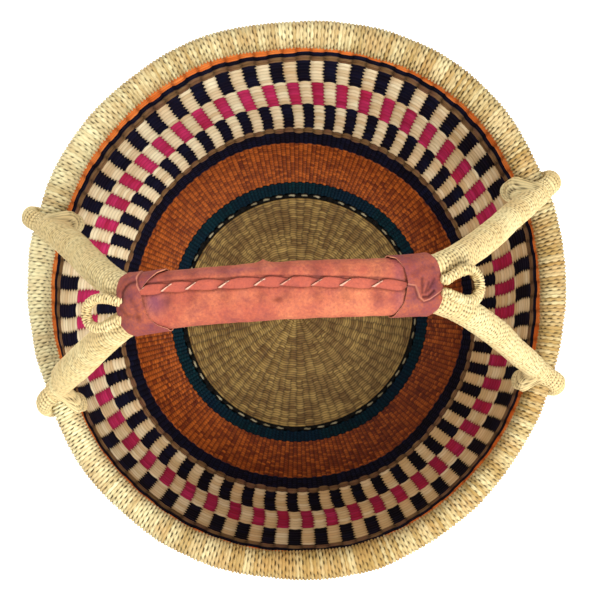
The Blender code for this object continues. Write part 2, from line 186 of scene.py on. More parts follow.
def strawFinish(name, light, dark, gap, patchHex=None, patchSize=0.03, patchShare=0.5,
                toneShare=0.75, shine=0.15):
    material, tree, shader = newMaterial(name)
    fibreLong, fibreWide = strawLook["fibre"]
    stretched = addNode(tree, "Mapping", {
        "Vector": addNode(tree, "UVMap", uv_map="UVMap").outputs[0],
        "Scale": (1 / fibreLong, 1 / fibreWide, 1)}).outputs[0]
    fibre = addNoise(tree, stretched, 1.0, 3.0, 0.6)
    toned = addMath(tree, "MULTIPLY_ADD", onPiece(tree, "tone"), toneShare, -0.5 * toneShare)
    fibred = addMath(tree, "MULTIPLY_ADD", fibre, strawLook["contrast"], toned, clamp=True)
    shifted = addMath(tree, "SUBTRACT", fibred, strawLook["level"], clamp=True)
    colour = addMix(tree, shifted, dark, light)
    if patchHex:
        place = addNode(tree, "TexCoord").outputs["Object"]
        patches = addNoise(tree, place, patchSize, 2.0, 0.5)
        colour = addMix(tree, addSpread(tree, patches, *strawLook["patches"], patchShare), colour, patchHex)
    # painted shade: the colour goes to the gap colour where strands meet in gaps and pits
    paintedGapShade = addMix(tree, onPiece(tree, "paintedLight"), gap, colour)
    endMaterial(tree, shader, paintedGapShade, addBump(tree, fibre, *strawLook["bump"]),
                strawLook["roughness"], shine)
    return material


# each finish: name, lightest and darkest straw, painted shade colour for gaps and pits, patch colour, size
# and share
naturalStraw = strawFinish("undyedStrawWoven", "fdf3ce", "c4a270", "7a5a30", "e0b280", 0.02, 0.3)
navyStraw = strawFinish("navyDyedStraw", "16172e", "07070e", "010103", "10080f", 0.02, shine=0.06)
pinkStraw = strawFinish("pinkDyedStraw", "d5376f", "8e1738", "4a0a1c", "a81b30", 0.02)
brownStraw = strawFinish("brownDyedStraw", "93704a", "5b3f22", "1f140a", "6d4638", 0.012, 0.6)
burntOrangeStraw = strawFinish("burntOrangeDyedStraw", "bc5e1c", "5c2006", "180602", "94420e",
                               0.02, 0.35, toneShare=0.95)
tealStraw = strawFinish("tealDyedStraw", "022a30", "01121a", "010205", "021428", 0.03, 0.6, shine=0.06)
topOrangeStraw = strawFinish("brightOrangeDyedStraw", "f7964a", "c85c1c", "6a2808", "e06a24")
blackStraw = strawFinish("blackDyedStraw", "12100d", "080706", "020202", shine=0.06)
paleStraw = strawFinish("bleachedStrawStitch", "a2987a", "756a4c", "1a1610")
floorStraw = strawFinish("undyedStrawFloor", "a98a4c", "573c1a", "0e0702", "5a3c1a", 0.012, 0.6)
rimStraw = strawFinish("undyedStrawRimBinding", "f6ecba", "a8894e", "241403", "bc8c50", 0.02, 0.35,
                       toneShare=0.8)
handleStraw = strawFinish("undyedStrawHandleBinding", "f4e4ae", "d2b478", "3c2808", "dcb880", 0.03,
                          0.35, toneShare=0.7)
grassCore = strawFinish("dryGrassCore", "b79a5e", "7c6030", "4a3518")
print("straw finishes made")


# Hand shaping
# The rim of a handmade basket isn't a true oval: how far it stands out or in, in millimetres,
# at angles round it, measured on the photograph's outline. It fades out down the wall.
handShape = {
    "bulges": ((0, -3.3), (10, -0.4), (20, 2.2), (30, 2.8), (40, 7.7), (50, 9.3), (60, 9.0),
               (70, 7.5), (80, 5.5), (90, 3.3), (96, 1.8), (110, 4.5), (122, 3.2), (136, 3.0),
               (150, 2.2), (160, -0.9), (168, -1.2), (176, -3.2), (184, -5.1), (193, -6.5),
               (200.6, -9.1), (208, -6.1), (216, -4.2), (228, -4.1), (242, -2.8), (256, -2.7),
               (270, -3.1), (284, -0.9), (294, -2.1), (305, -3.3), (316, -4.8), (330, -4.9),
               (343.4, -6.2), (351, -3.8)),
    # the same every 12 degrees for the navy ring, and every 24 for the floor's edge
    "navyRing": (0.5, 0.8, 1.2, 0.6, 0.6, -0.9, -2.0, -2.1, -1.5, -0.5, -1.6, -2.0, -2.1, -2.9, -3.2,
                 -3.0, -2.4, -0.5, 0.8, 0.2, -0.7, -1.3, -2.0, -1.8, -1.0, 0.7, 0.4, -0.8, 0.9, 1.3),
    "floorRing": (2.2, 2.0, 0.2, -2.0, -2.9, -3.4, -2.7, -3.2, -2.9, -2.2, -1.1, -0.2, -0.4, 0.7, 1.8),
    # every 12 degrees for the three check rows, inner first
    "rowRings": (
        (-3.4, -1.1, -1.5, -1.0, 1.1, 0.6, -0.8, -2.2, -2.6, -2.3, -4.7, -5.2, -5.5, -5.6, -4.8,
         -3.5, -2.4, 0.6, 1.2, 0.9, 0.8, -0.3, -1.2, -1.1, 0.4, 0.5, -0.2, -1.2, -0.4, -2.7),
        (-2.0, 0.4, 0.4, 0.8, 2.5, 2.7, 1.5, -0.1, -1.7, -1.5, -3.5, -4.1, -4.2, -3.6, -3.5,
         -1.0, -0.6, -0.8, -0.8, -2.2, -2.6, -3.8, -3.8, -4.4, -4.0, -2.7, -2.2, -1.8, -2.0, -3.0),
        (-3.5, -0.5, 2.2, 2.7, 3.9, 5.2, 3.4, 1.7, -0.6, -0.8, -2.3, -2.3, -2.0, -1.7, -1.1,
         -1.3, -1.6, -4.3, -2.7, -3.1, -3.0, -2.9, -2.8, -2.9, -2.1, -2.2, -2.0, -2.3, -3.6, -3.8)),
    # the middle, the floor's edge, the navy ring, the three rows and the rim
    "ringPlaces": (0.0, 0.097, 0.144, 0.1615, 0.1735, 0.1830, 0.190),
    # how far the stakes lean round, in stakes, every 24 degrees: three check rows, inner first
    "leans": ((-0.15, -0.2, -0.07, -0.43, -0.83, -0.86, -0.78, -0.61, -0.4, -0.2, -0.03, 0.09, 0.14,
               0.12, 0.1),
              (-0.05, 0.1, 0.2, -0.17, -0.4, -0.36, -0.4, -0.42, -0.25, 0.12, 0.35, 0.5, 0.38, 0.2, 0.1),
              (0.5, 0.45, 0.23, 0.01, -0.04, 0.0, -0.12, -0.18, 0.12, 0.2, 0.46, 0.42, 0.33, 0.14, 0.34)),
    # how much slimmer the rim's inner side is, in millimetres, every 12 degrees
    "rimSlims": (2.7, 0.7, 1.7, 2.7, 2.7, 2.6, 1.6, 1.6, 2.8, 3.2, 3.3, 3.3, 3.2, 2.7, 2.0, 0.9,
                 -0.6, -1.2, 0.0, 0.4, 0.9, 0.9, 0.6, 0.2, 0.4, 0.9, 0.9, 0.8, 2.3, 2.4),
    "leanShares": (0.6331, 0.7362, 0.8369),  # the middles of the check rows along the wall
}
wholeTurn = np.linspace(0, fullTurn, 721)[:-1]


def bell(x, width):
    return np.exp(-(x / width) ** 2)


# 0 at both ends of a stretch from 0 to 1, and 1 in its middle
def hump(x, power):
    return 1 - np.abs(2 * x - 1) ** power


def handRandom(seed, *size):
    return np.random.RandomState(seed).rand(*size)


def roundTable(values, angles=None, smoothing=10, reach=40):
    angles = np.arange(len(values)) / len(values) * 360 if angles is None else angles
    rough = np.interp(wholeTurn, np.radians(angles), values, period=fullTurn)
    weights = bell(np.arange(-reach, reach + 1), smoothing)
    return sum(weight * np.roll(rough, shift - reach) for shift, weight in enumerate(weights)) / weights.sum()


ringMoves = np.stack([
    0 * wholeTurn, roundTable(handShape["floorRing"], smoothing=16), roundTable(handShape["navyRing"]),
    *[roundTable(row) for row in handShape["rowRings"]],
    roundTable([size for _, size in handShape["bulges"]], [a for a, _ in handShape["bulges"]],
               smoothing=7)]) / 1000
rimSlims = roundTable(handShape["rimSlims"]) / 1000
stakeLeans = np.stack([roundTable(row, smoothing=16) for row in handShape["leans"]])


# Reads a table of rows at places and whole turns, at any place and angle
def readRound(table, places, place, angle):
    position = np.interp(place, places, np.arange(len(places)))
    lower = np.clip(np.floor(position).astype(int), 0, len(places) - 2)
    part = position - lower
    around = np.rint(angle / fullTurn * len(wholeTurn)).astype(int) % len(wholeTurn)
    return table[lower, around] * (1 - part) + table[lower + 1, around] * part


def shapeByHand(points):
    angle = np.arctan2(points[:, 1], points[:, 0]) % fullTurn
    out = np.hypot(points[:, 0], points[:, 1])
    share = 1 + readRound(ringMoves, handShape["ringPlaces"], out, angle) / np.maximum(out, 0.001)
    return points * np.stack((share, share, np.ones(len(share))), axis=1)


def readFlat(data, key, width):
    flat = np.zeros(len(data) * width)
    data.foreach_get(key, flat)
    return flat.reshape(-1, width)


# Making a piece from a grid
# A bmesh grid is laid over a surface: lay() gets each vertex's column and row and gives its
# place and the painted shade on it (0 darkest in a gap, 1 unshaded on a crest), for leather
# also painted purple shade and cut edges; tone() gives each face's strand tone, and slot() its
# material. Rows and columns that meet are merged, and the faces turned outwards.
mergeDistance = 0.000004


def layGrid(name, columns, rows, lay, finishes, uvSize, tone=None, slot=None, shaped=True):
    mesh = bpy.data.meshes.new(name)
    shape = bmesh.new()
    shape.loops.layers.uv.new("UVMap")
    bmesh.ops.create_grid(shape, x_segments=columns, y_segments=rows, size=1, calc_uvs=True)
    shape.to_mesh(mesh)
    shape.free()
    flat = readFlat(mesh.vertices, "co", 3)
    column = np.rint((flat[:, 0] + 1) / 2 * columns)
    row = np.rint((flat[:, 1] + 1) / 2 * rows)
    points, *looks = lay(column, row)
    points = shapeByHand(points) if shaped else points
    mesh.vertices.foreach_set("co", points.ravel())
    for attribute, values in zip(("paintedLight", "purpleShade", "cutEdge"), looks):
        mesh.attributes.new(attribute, "FLOAT", "POINT").data.foreach_set("value", values)
    uvData = mesh.uv_layers["UVMap"].data
    uv = readFlat(uvData, "uv", 2)
    faceColumn = np.floor(uv[:, 0].reshape(-1, 4).mean(axis=1) * columns)
    faceRow = np.floor(uv[:, 1].reshape(-1, 4).mean(axis=1) * rows)
    uvData.foreach_set("uv", (uv * np.array(uvSize)).ravel())
    tones = tone(faceColumn, faceRow) if tone else np.full(len(mesh.polygons), 0.5)
    mesh.attributes.new("tone", "FLOAT", "FACE").data.foreach_set("value", tones)
    for finish in finishes:
        mesh.materials.append(finish)
    if slot:
        mesh.polygons.foreach_set("material_index", slot(faceColumn, faceRow).astype(int))
    shape = bmesh.new()
    shape.from_mesh(mesh)
    bmesh.ops.remove_doubles(shape, verts=shape.verts, dist=mergeDistance)
    bmesh.ops.recalc_face_normals(shape, faces=shape.faces)
    shape.to_mesh(mesh)
    shape.free()
    mesh.shade_smooth()
    piece = bpy.data.objects.new(name, mesh)
    bpy.context.scene.collection.objects.link(piece)
    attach(piece, "root")
    return piece


# Straw that runs across a piece follows its section: the map is turned a quarter
def turnFibres(piece):
    uvData = piece.data.uv_layers["UVMap"].data
    uvData.foreach_set("uv", readFlat(uvData, "uv", 2)[:, ::-1].copy().ravel())


# The bowl's woven bands
bowl = {
    "floorRadius": 0.0832, "cornerRadius": 0.079, "sideRadius": 0.325,
    "cornerTurn": math.radians(60), "sideTurn": math.radians(22.4),
    "thickness": 0.005, "oval": 0.98, "stakes": 108,
}
wallLength = (bowl["floorRadius"] + bowl["cornerRadius"] * bowl["cornerTurn"]
              + bowl["sideRadius"] * bowl["sideTurn"])


# Places round the basket's middle, on ovals as the basket's are
def roundPoints(out, angle, up):
    return np.stack(np.broadcast_arrays(bowl["oval"] * out * np.cos(angle), out * np.sin(angle), up),
                    axis=1)


def wallPoint(along, depth):
    corner = np.clip((along - bowl["floorRadius"]) / bowl["cornerRadius"], 0, bowl["cornerTurn"])
    beyond = along - bowl["floorRadius"] - bowl["cornerRadius"] * bowl["cornerTurn"]
    side = bowl["cornerTurn"] + np.clip(beyond, 0, None) / bowl["sideRadius"]
    cornerDeep = bowl["cornerRadius"] + depth
    sideDeep = bowl["sideRadius"] + depth
    out = np.minimum(along, bowl["floorRadius"]) + cornerDeep * np.sin(corner)
    out = out + sideDeep * (np.sin(side) - math.sin(bowl["cornerTurn"]))
    up = bowl["thickness"] - depth + cornerDeep * (1 - np.cos(corner))
    up = up + sideDeep * (math.cos(bowl["cornerTurn"]) - np.cos(side))
    return out, up


# One band: plain weave over and under single stakes. Each strand that shows is one float
# over a stake, domed across and along, and next stakes' floats are half a strand apart.
weave = {
    "groundDepth": 0.0011,  # how deep the gaps lie under the wall's face
    "stakeSwell": 0.00085,  # how much the weave swells over a stake
    "strandSwell": 0.00055,  # and over one strand
    "swellPower": 3.5, "domePower": 2.2,  # how square those swells are
    "stagger": 0.0008, "staggerPower": 2.2,
    "bow": 0.0022,  # how far the middle of a float bows towards the rim
    "sideJag": 0.085,  # how far a float's end pushes past its stake's edge, in stakes
    "lowest": 0.0003, "mapLength": 0.9,
}


def weaveBand(name, startShare, endShare, strands, finishes, slot=None, startStagger=1.0,
              strandSwell=1.0, stakeSwell=1.0, slant=0.1, seed=1, toneByStake=0.3, gapShadeShare=1.0,
              split=1, across=6, perStrand=4, fresh=0.0, paintedShadeAway=0.35, bow=(0, 0)):
    stakes = bowl["stakes"] * split
    steps = strands * perStrand
    start, end = startShare * wallLength, endShare * wallLength
    pitch = (end - start) / strands
    lift = handRandom(seed, 2, strands + 1, stakes + 1)
    jagSize = 0.5 + handRandom(seed + 1, strands + 1, stakes + 1)
    tiltSize = handRandom(seed + 2, 2, strands + 1, stakes + 1) - 0.5
    stakeTone = handRandom(seed + 3, stakes + 1)
    cellTone = handRandom(seed + 4, 2, strands + 1, stakes + 1)

    def lay(column, row):
        outside = (row > steps) & (row <= 2 * steps + 1)
        step = np.where(outside, 2 * steps + 1 - row, np.where(row > 2 * steps + 1, 0, row))
        side = outside.astype(int)
        phase, stake = step / perStrand, column / across
        cell = np.floor(stake).astype(int) % stakes
        strand = np.clip(np.floor(phase).astype(int), 0, strands)
        x, y = stake - np.floor(stake), phase - np.floor(phase)
        share = np.clip(phase / strands, 0, 1)
        sway = np.tanh(weave["staggerPower"] * np.sin(math.pi * stake)) / math.tanh(weave["staggerPower"])
        sway = np.where(outside, -sway, sway) * (startStagger + (1 - startStagger) * share)
        along = start + pitch * phase + weave["stagger"] / split * sway
        along = along + weave["bow"] * (bow[0] + (bow[1] - bow[0]) * share) * hump(x, 2)
        innerRow = (step > 0) & (step < steps)
        along = along + slant * pitch * (x - 0.5) * np.sin(math.pi * x) * innerRow * (
            0.5 + 1.5 * tiltSize[side, strand, cell])
        even = np.where(cell % 2 == 0, 1.0, -1.0) * np.where(outside, -1.0, 1.0)
        jag = even * weave["sideJag"] * np.sin(fullTurn * y) * jagSize[strand, cell] * (x < 0.01)
        leaning = readRound(stakeLeans, handShape["leanShares"],
                            startShare + (endShare - startShare) * phase / strands,
                            stake / stakes * fullTurn)
        angle = (stake + jag + leaning * split) / stakes * fullTurn
        swell = hump(x, weave["swellPower"])
        dome = np.where((step == 0) | (step == steps), 0, hump(y, weave["domePower"]))
        uneven = 0.75 + 0.5 * lift[side, strand, cell]
        high = weave["stakeSwell"] * stakeSwell * swell + weave["strandSwell"] * strandSwell * dome * (
            0.3 + 0.7 * swell) * uneven
        depth = np.where(outside, bowl["thickness"] - weave["groundDepth"] + high,
                         weave["groundDepth"] - high)
        out, up = wallPoint(along, depth)
        # painted shade, strongest in the gaps between floats and weakest on their crests
        paintedGapShade = 0.8 - 0.42 * np.sqrt(swell) - 0.38 * dome * (0.4 + 0.6 * swell)
        return (roundPoints(out, angle, np.maximum(up, weave["lowest"])),
                np.clip(1 - gapShadeShare * paintedGapShade, 0, 1))

    def cellAt(column, row):
        step = np.where(row > steps, 2 * steps - row, row)
        strand = np.clip(np.floor(step / perStrand).astype(int), 0, strands - 1)
        return np.floor(column / across).astype(int) % stakes, strand

    def tone(column, row):
        cell, strand = cellAt(column, row)
        # painted shade: darker towards the front and the right, where the inner wall faces away from the key
        # light
        awayFromKeyLight = 0.5 - 0.5 * np.cos(cell / stakes * fullTurn - math.radians(130))
        mixed = (toneByStake * stakeTone[cell]
                 + (1 - toneByStake) * cellTone[(row >= steps).astype(int), strand, cell])
        return mixed + fresh - paintedShadeAway * awayFromKeyLight

    def slots(column, row):
        return slot(*cellAt(column, row), row > steps)

    return layGrid(name + "Weave", stakes * across, 2 * steps + 2, lay, finishes,
                   (weave["mapLength"], 2 * (end - start)), tone, slots if slot else None)


bowlBands = {
    # node, start and end as shares of the way from the floor's middle to the rim, strands, slot
    "dashedRound": ("dashed_round", 0.3464, 0.3597, 3, "black_straw"),
    "tealBand": ("teal_band", 0.3597, 0.3932, 4, "teal_straw"),
    "orangeBand": ("orange_band", 0.3932, 0.5205, 17, "burnt_orange_straw"),
    "navyBand": ("navy_band", 0.5205, 0.5652, 5, "navy_straw"),
    "brownLowerRound": ("brown_lower_round", 0.5652, 0.5809, 2, "brown_straw"),
    "checkRowLower": ("check_row_lower", 0.5809, 0.6853, 7, "check_straw_navy"),
    "checkRowMiddle": ("check_row_middle", 0.6853, 0.7870, 7, "check_straw_pink"),
    "checkRowUpper": ("check_row_upper", 0.7870, 0.8867, 7, "check_straw_navy"),
    "brownUpperRound": ("brown_upper_round", 0.8867, 0.9095, 2, "brown_straw"),
    "navyUpperRound": ("navy_upper_round", 0.9095, 0.9300, 2, "navy_straw"),
    "orangeTopBand": ("orange_top_band", 0.9300, 1.0, 7, "bright_orange_straw"),
}


def evenStakes(cell, strand, outside):
    return (cell + outside) % 2


def oddStakes(cell, strand, outside):
    return (cell + outside + 1) % 2


def paleDashes(cell, strand, outside):
    return (cell % 2 == 0) & (strand == 1) & (cell * 37 % 11 > 1)


checkLook = {"strandSwell": 0.6, "gapShadeShare": 0.85, "fresh": 0.18, "paintedShadeAway": 0.85, "bow": (1, 1)}
bandLooks = {
    "dashedRound": ([blackStraw, paleStraw], paleDashes, {"startStagger": 0.0, "slant": 1.3}),
    "tealBand": ([tealStraw], None, {"toneByStake": 0.4, "stakeSwell": 0.7, "split": 2}),
    "orangeBand": ([burntOrangeStraw], None, {"slant": 0.6, "stakeSwell": 0.7, "toneByStake": 0.15,
                                              "split": 2, "across": 4, "perStrand": 3}),
    "navyBand": ([navyStraw], None, {"stakeSwell": 0.7, "split": 2}),
    "brownLowerRound": ([brownStraw], None, {"bow": (0, 1)}),
    "checkRowLower": ([naturalStraw, navyStraw], oddStakes, checkLook),
    "checkRowMiddle": ([naturalStraw, pinkStraw], evenStakes, checkLook),
    "checkRowUpper": ([naturalStraw, navyStraw], oddStakes, checkLook),
    "brownUpperRound": ([brownStraw], None, {"bow": (1, 1)}),
    "navyUpperRound": ([navyStraw], None, {"stakeSwell": 0.8, "bow": (1, 0.7)}),
    "orangeTopBand": ([topOrangeStraw], None, {"stakeSwell": 0.6, "bow": (0.7, 0)}),
}
for number, (bandName, (node, startShare, endShare, strands, slotName)) in enumerate(bowlBands.items()):
    finishes, slot, more = bandLooks[bandName]
    band = weaveBand(bandName, startShare, endShare, strands, finishes, slot, seed=20 + 7 * number, **more)
    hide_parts(node)
print("bowl's bands woven")


# The floor: rounds of fine strands over ribs that split in two as the circle widens
floorWeave = {
    "radius": 0.3464 * wallLength, "strands": 52, "rowSteps": 3, "underSteps": 2,
    "ribs": 80, "ribSteps": 4, "firstSplit": 0.030, "secondSplit": 0.060,
    "swell": 0.00042, "strandSwell": 0.00058, "swellPower": 3, "wander": 1.5,
    "topDepth": 0.0008, "underDepth": 0.0010,
}


def weaveFloor():
    ribs, strands = floorWeave["ribs"], floorWeave["strands"]
    perStrand, under = floorWeave["rowSteps"], floorWeave["underSteps"]
    columns = ribs * floorWeave["ribSteps"]
    top, bottom = strands * perStrand, strands * under
    pitch = floorWeave["radius"] / strands
    lift = handRandom(5, 2, strands + 1, ribs)
    cellTone = handRandom(6, 2, strands + 1, ribs)
    wander = handRandom(7, strands + 1) - 0.5

    def ribAt(column, strand):
        out = (strand + 0.5) * pitch
        count = np.where(out < floorWeave["firstSplit"], ribs // 4,
                         np.where(out < floorWeave["secondSplit"], ribs // 2, ribs))
        rib = column / columns * count
        return rib, np.floor(rib).astype(int) % ribs

    def lay(column, row):
        below = row > top
        phase = np.where(below, (bottom - (row - top - 1)) / under, row / perStrand)
        phase = np.clip(phase, 0, strands)
        strand = np.floor(phase).astype(int)
        rib, cell = ribAt(column, strand)
        x, y = rib - np.floor(rib), phase - strand
        sway = np.sin(math.pi * rib) * np.where(below, -1, 1)
        edge = np.clip((strands - phase) / 2, 0, 1) * np.clip(phase / 2, 0, 1)
        swell = hump(x, floorWeave["swellPower"])
        dome = np.where(below & (y == 0.5), 1.0, hump(y, weave["domePower"]))
        dome = np.where((phase == 0) | (phase == strands), 0, dome)
        high = floorWeave["swell"] * swell + floorWeave["strandSwell"] * dome * (
            0.3 + 0.7 * swell) * (0.7 + 0.6 * lift[below.astype(int), strand, cell])
        depth = np.where(below, bowl["thickness"] - floorWeave["underDepth"] + high,
                         floorWeave["topDepth"] - high)
        out, up = wallPoint(pitch * phase + 0.25 * pitch * sway * edge, depth)
        turned = floorWeave["wander"] * np.interp(phase, np.arange(strands + 1), wander)
        points = roundPoints(out, (column + turned) / columns * fullTurn, np.maximum(up, 0.0))
        # painted shade in the gaps between rounds and ribs, least on the strands' domes
        return points, np.clip(0.14 + 0.2 * np.sqrt(swell) + 0.66 * dome * (0.6 + 0.4 * swell), 0, 1)

    def tone(column, row):
        below = row >= top
        strand = np.where(below, (bottom - (row - top)) / under, row / perStrand)
        strand = np.clip(np.floor(strand).astype(int), 0, strands)
        return cellTone[below.astype(int), strand, ribAt(column, strand)[1]]

    return layGrid("floorWeave", columns, top + bottom + 1, lay, [floorStraw], (0.45, 0.2), tone)


floorPiece = weaveFloor()
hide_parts("floor_disc")
print("floor woven")


# The bound rim
rim = {
    "coreRadius": 0.0065, "bindingThickness": 0.00305, "gap": 0.0003,
    "strands": 468, "outerSteps": 46, "innerSteps": 2, "faceDepth": 0.0003, "fullness": 0.0006,
    "pitRows": 8.5, "strandSwell": 0.0006, "pitDepth": 0.0016, "lean": 0.5, "sway": 0.1, "lumps": 0.0016,
    "strandPlaces": (0.0, 0.27, 0.5, 0.73),  # where a strand's grid lines lie across it
    # painted light and shade, every 45 degrees from the right: paler on the left, darkest at the front
    "tones": (-0.30, -0.28, -0.25, -0.05, 0.45, 0.05, -0.52, -0.45),
    "coreColumns": 216, "coreRows": 12,
}
rimTurn = bowl["cornerTurn"] + bowl["sideTurn"]
rimTopOut, rimTopUp = wallPoint(np.array([wallLength]), np.array([bowl["thickness"] / 2]))
rimInnerRadius = rim["coreRadius"] + rim["gap"]
rimOuterRadius = rimInnerRadius + rim["bindingThickness"]
rimOut = float(rimTopOut[0]) + math.cos(rimTurn) * rimInnerRadius
rimUp = float(rimTopUp[0]) + math.sin(rimTurn) * rimInnerRadius


# Which strand a grid line belongs to, and where it lies across it
def acrossStrand(column, places):
    places = np.array(places)
    strand = np.floor(column / len(places) + 1e-6)
    return strand, places[np.rint(column).astype(int) % len(places)]


def bindRim():
    strands, perStrand = rim["strands"], len(rim["strandPlaces"])
    outer, inner = rim["outerSteps"], rim["innerSteps"]
    slit = rimTurn + math.pi
    halfSlit = bowl["thickness"] / 2 + rim["gap"]
    eachStrand = np.arange(strands)
    depthOf = handRandom(41, 8, strands) ** 1.6 * 2.5
    # each strand's tone takes in the painted light and shade round the rim
    toneOf = 0.6 * handRandom(42, strands) + 0.4 * np.interp(
        eachStrand, np.linspace(0, strands, 90), handRandom(43, 90)) + np.interp(
        eachStrand / strands * 8, np.arange(8), rim["tones"], period=8)
    proudOf = 0.0004 * handRandom(44, strands)
    shiftOf = 0.26 * handRandom(46, strands)
    lumps = np.append(handRandom(45, 60), 0)
    lumps[-1] = lumps[0]

    def lay(column, row):
        inside = row > outer
        share = np.where(inside, (outer + 1 + inner - row) / inner, row / outer)
        share = np.where(row > outer + inner + 1, 0.0, np.clip(share, 0, 1))
        whole, x = acrossStrand(column, rim["strandPlaces"])
        cell, strand = whole.astype(int) % strands, whole + x
        crest = hump(x, 2)
        wave = np.sin(fullTurn * (rim["pitRows"] * share + 0.5 * (cell % 2) + shiftOf[cell]))
        pit = np.clip(wave, 0, 1) ** 1.2 * depthOf[np.floor(share * 7.99).astype(int), cell]
        groove = (1 - crest) * np.clip(0.15 + 1.7 * pit, 0, 1.2)
        lump = np.interp(strand % strands, np.linspace(0, strands, 61), lumps) - 0.5
        height = rim["strandSwell"] * crest - rim["pitDepth"] * (0.25 + 0.6 * pit) * (1 - crest)
        height = height + proudOf[cell] * crest + rim["lumps"] * lump * np.sin(math.pi * share)
        full = rim["fullness"] * np.sin(math.pi * share) ** 0.5
        radius = np.where(inside, rimInnerRadius, rimOuterRadius - rim["faceDepth"] + full + height)
        halfAngle = np.arcsin(halfSlit / np.where(inside, rimInnerRadius, rimOuterRadius))
        around = slit - halfAngle - (fullTurn - 2 * halfAngle) * share
        slim = np.interp(strand / strands * fullTurn, wholeTurn, rimSlims, period=fullTurn)
        radius = radius - np.where(inside, 0, slim * np.clip(-np.cos(around), 0, 1) ** 1.3)
        lean = rim["lean"] * (share - 0.5) + rim["sway"] * wave * np.cos(math.pi * x)
        angle = (strand + np.where(inside, 0, lean)) / strands * fullTurn
        points = roundPoints(rimOut + radius * np.cos(around), angle, rimUp + radius * np.sin(around))
        # painted shade in the grooves between strands and deepest in the pits
        return points, np.clip(1 - 1.4 * groove, 0, 1)

    def tone(column, row):
        return toneOf[np.floor(column / perStrand).astype(int) % strands]

    return layGrid("rimBindingStraw", strands * perStrand, outer + inner + 2, lay, [rimStraw],
                   (1.24, 0.055), tone)


rimBinding = bindRim()
turnFibres(rimBinding)
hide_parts("rim_binding")


def layRimCore():
    def lay(column, row):
        around, angle = row / rim["coreRows"] * fullTurn, column / rim["coreColumns"] * fullTurn
        radius = rim["coreRadius"] - 0.0004 + 0.0003 * np.cos(6 * around + 20 * angle)
        points = roundPoints(rimOut + radius * np.cos(around), angle, rimUp + radius * np.sin(around))
        # painted shade: the whole core is drawn partway to its gap colour, as it lies in the binding's shade
        return points, np.full(len(points), 0.7)
    return layGrid("rimCoreGrass", rim["coreColumns"], rim["coreRows"], lay, [grassCore], (1.24, 0.04))


rimCore = layRimCore()
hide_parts("rim_core")
print("rim bound")


# The handle's lines
handle = {
    "barRadius": 0.0079, "footRadius": 0.0068, "footFlat": 0.0050, "swellPower": 1.3,
    "footClearance": 0.0002, "footStart": math.radians(70), "footEnd": math.radians(-218),
    "gripCentre": (-0.010, -0.0019, 0.327), "gripDrop": 0.013, "gripHalf": 0.0995,
    "gripTurn": math.radians(3.8), "partingSetback": 0.0145, "legLead": 0.01,
    "startPull": 0.1, "endPull": 0.105, "gap": 0.0003, "coreShare": 0.62, "corePitch": 0.02,
    "legSteps": 90, "footSteps": 60, "gripSteps": 40,
    "pressReach": 0.024, "pressFade": 0.006,  # how near the rim a foot starts to flatten
    "windingPitch": 0.0027,  # one turn of binding straw
    # the grip isn't quite straight: distance along it and how far aside, in millimetres
    "bend": ((-110, -1.4), (-88, -1.0), (-67, 0.4), (-45, 0.9), (-20, 1.0), (5, 1.0), (26, 0.6),
             (46, -0.1), (68, -0.7), (90, -0.5), (110, -0.4)),
}
feet = {
    # end, side, angle round the rim, bow aside, thickest radius, how far its tip steps aside
    "backLeft": (-1, 1, math.radians(163.4), 0.022, 0.0102, 0.0080),
    "frontLeft": (-1, -1, math.radians(200.6), 0.026, 0.0104, 0.0135),
    "backRight": (1, 1, math.radians(23.8), 0.004, 0.0091, 0.0100),
    "frontRight": (1, -1, math.radians(-16.6), 0.005, 0.0089, 0.0080),
}
straightHalf = handle["gripHalf"] - handle["partingSetback"]
barOffset = handle["barRadius"] + handle["gap"]
gripLine = np.array((math.cos(handle["gripTurn"]), math.sin(handle["gripTurn"]), 0.0))
gripAside = np.array((-gripLine[1], gripLine[0], 0.0))
upWay = np.array((0.0, 0.0, 1.0))
bendMarks = np.linspace(-0.13, 0.13, 261)
bendSizes = np.interp(bendMarks * 1000, *zip(*handle["bend"])) / 1000
bendSizes = np.convolve(np.pad(bendSizes, 12, "edge"), np.hanning(25) / np.hanning(25).sum(), "valid")


def gripPoint(along, aside, above):
    along, aside, above = np.broadcast_arrays(*[np.asarray(v, float) for v in (along, aside, above)])
    drop = handle["gripDrop"] * (along / handle["gripHalf"]) ** 2
    slope = -2 * handle["gripDrop"] * along / handle["gripHalf"] ** 2
    aside = aside + np.interp(along, bendMarks, bendSizes)
    upright = upWay - gripLine * slope[..., None]
    upright = upright / np.linalg.norm(upright, axis=-1, keepdims=True)
    return (np.array(handle["gripCentre"]) + gripLine * along[..., None]
            + gripAside * aside[..., None] - upWay * drop[..., None] + upright * above[..., None])


def footLine(footName):
    count = handle["footSteps"]
    end, side, angle, _, _, tipAside = feet[footName]
    reach = rimOuterRadius + rim["fullness"] + handle["footClearance"] + handle["footFlat"]
    stepAside = tipAside / rimOut
    way = np.linspace(0, 1, count)
    turned = angle + end * side * stepAside * (1 - (1 - way) ** 2)
    place = roundPoints(rimOut, turned, rimUp)
    outward = np.stack((np.cos(turned) / bowl["oval"], np.sin(turned), np.zeros(count)), axis=1)
    outward /= np.linalg.norm(outward, axis=1, keepdims=True)
    around = handle["footStart"] + (handle["footEnd"] - handle["footStart"]) * way
    return place + (outward * np.cos(around)[:, None] + upWay * np.sin(around)[:, None]) * reach


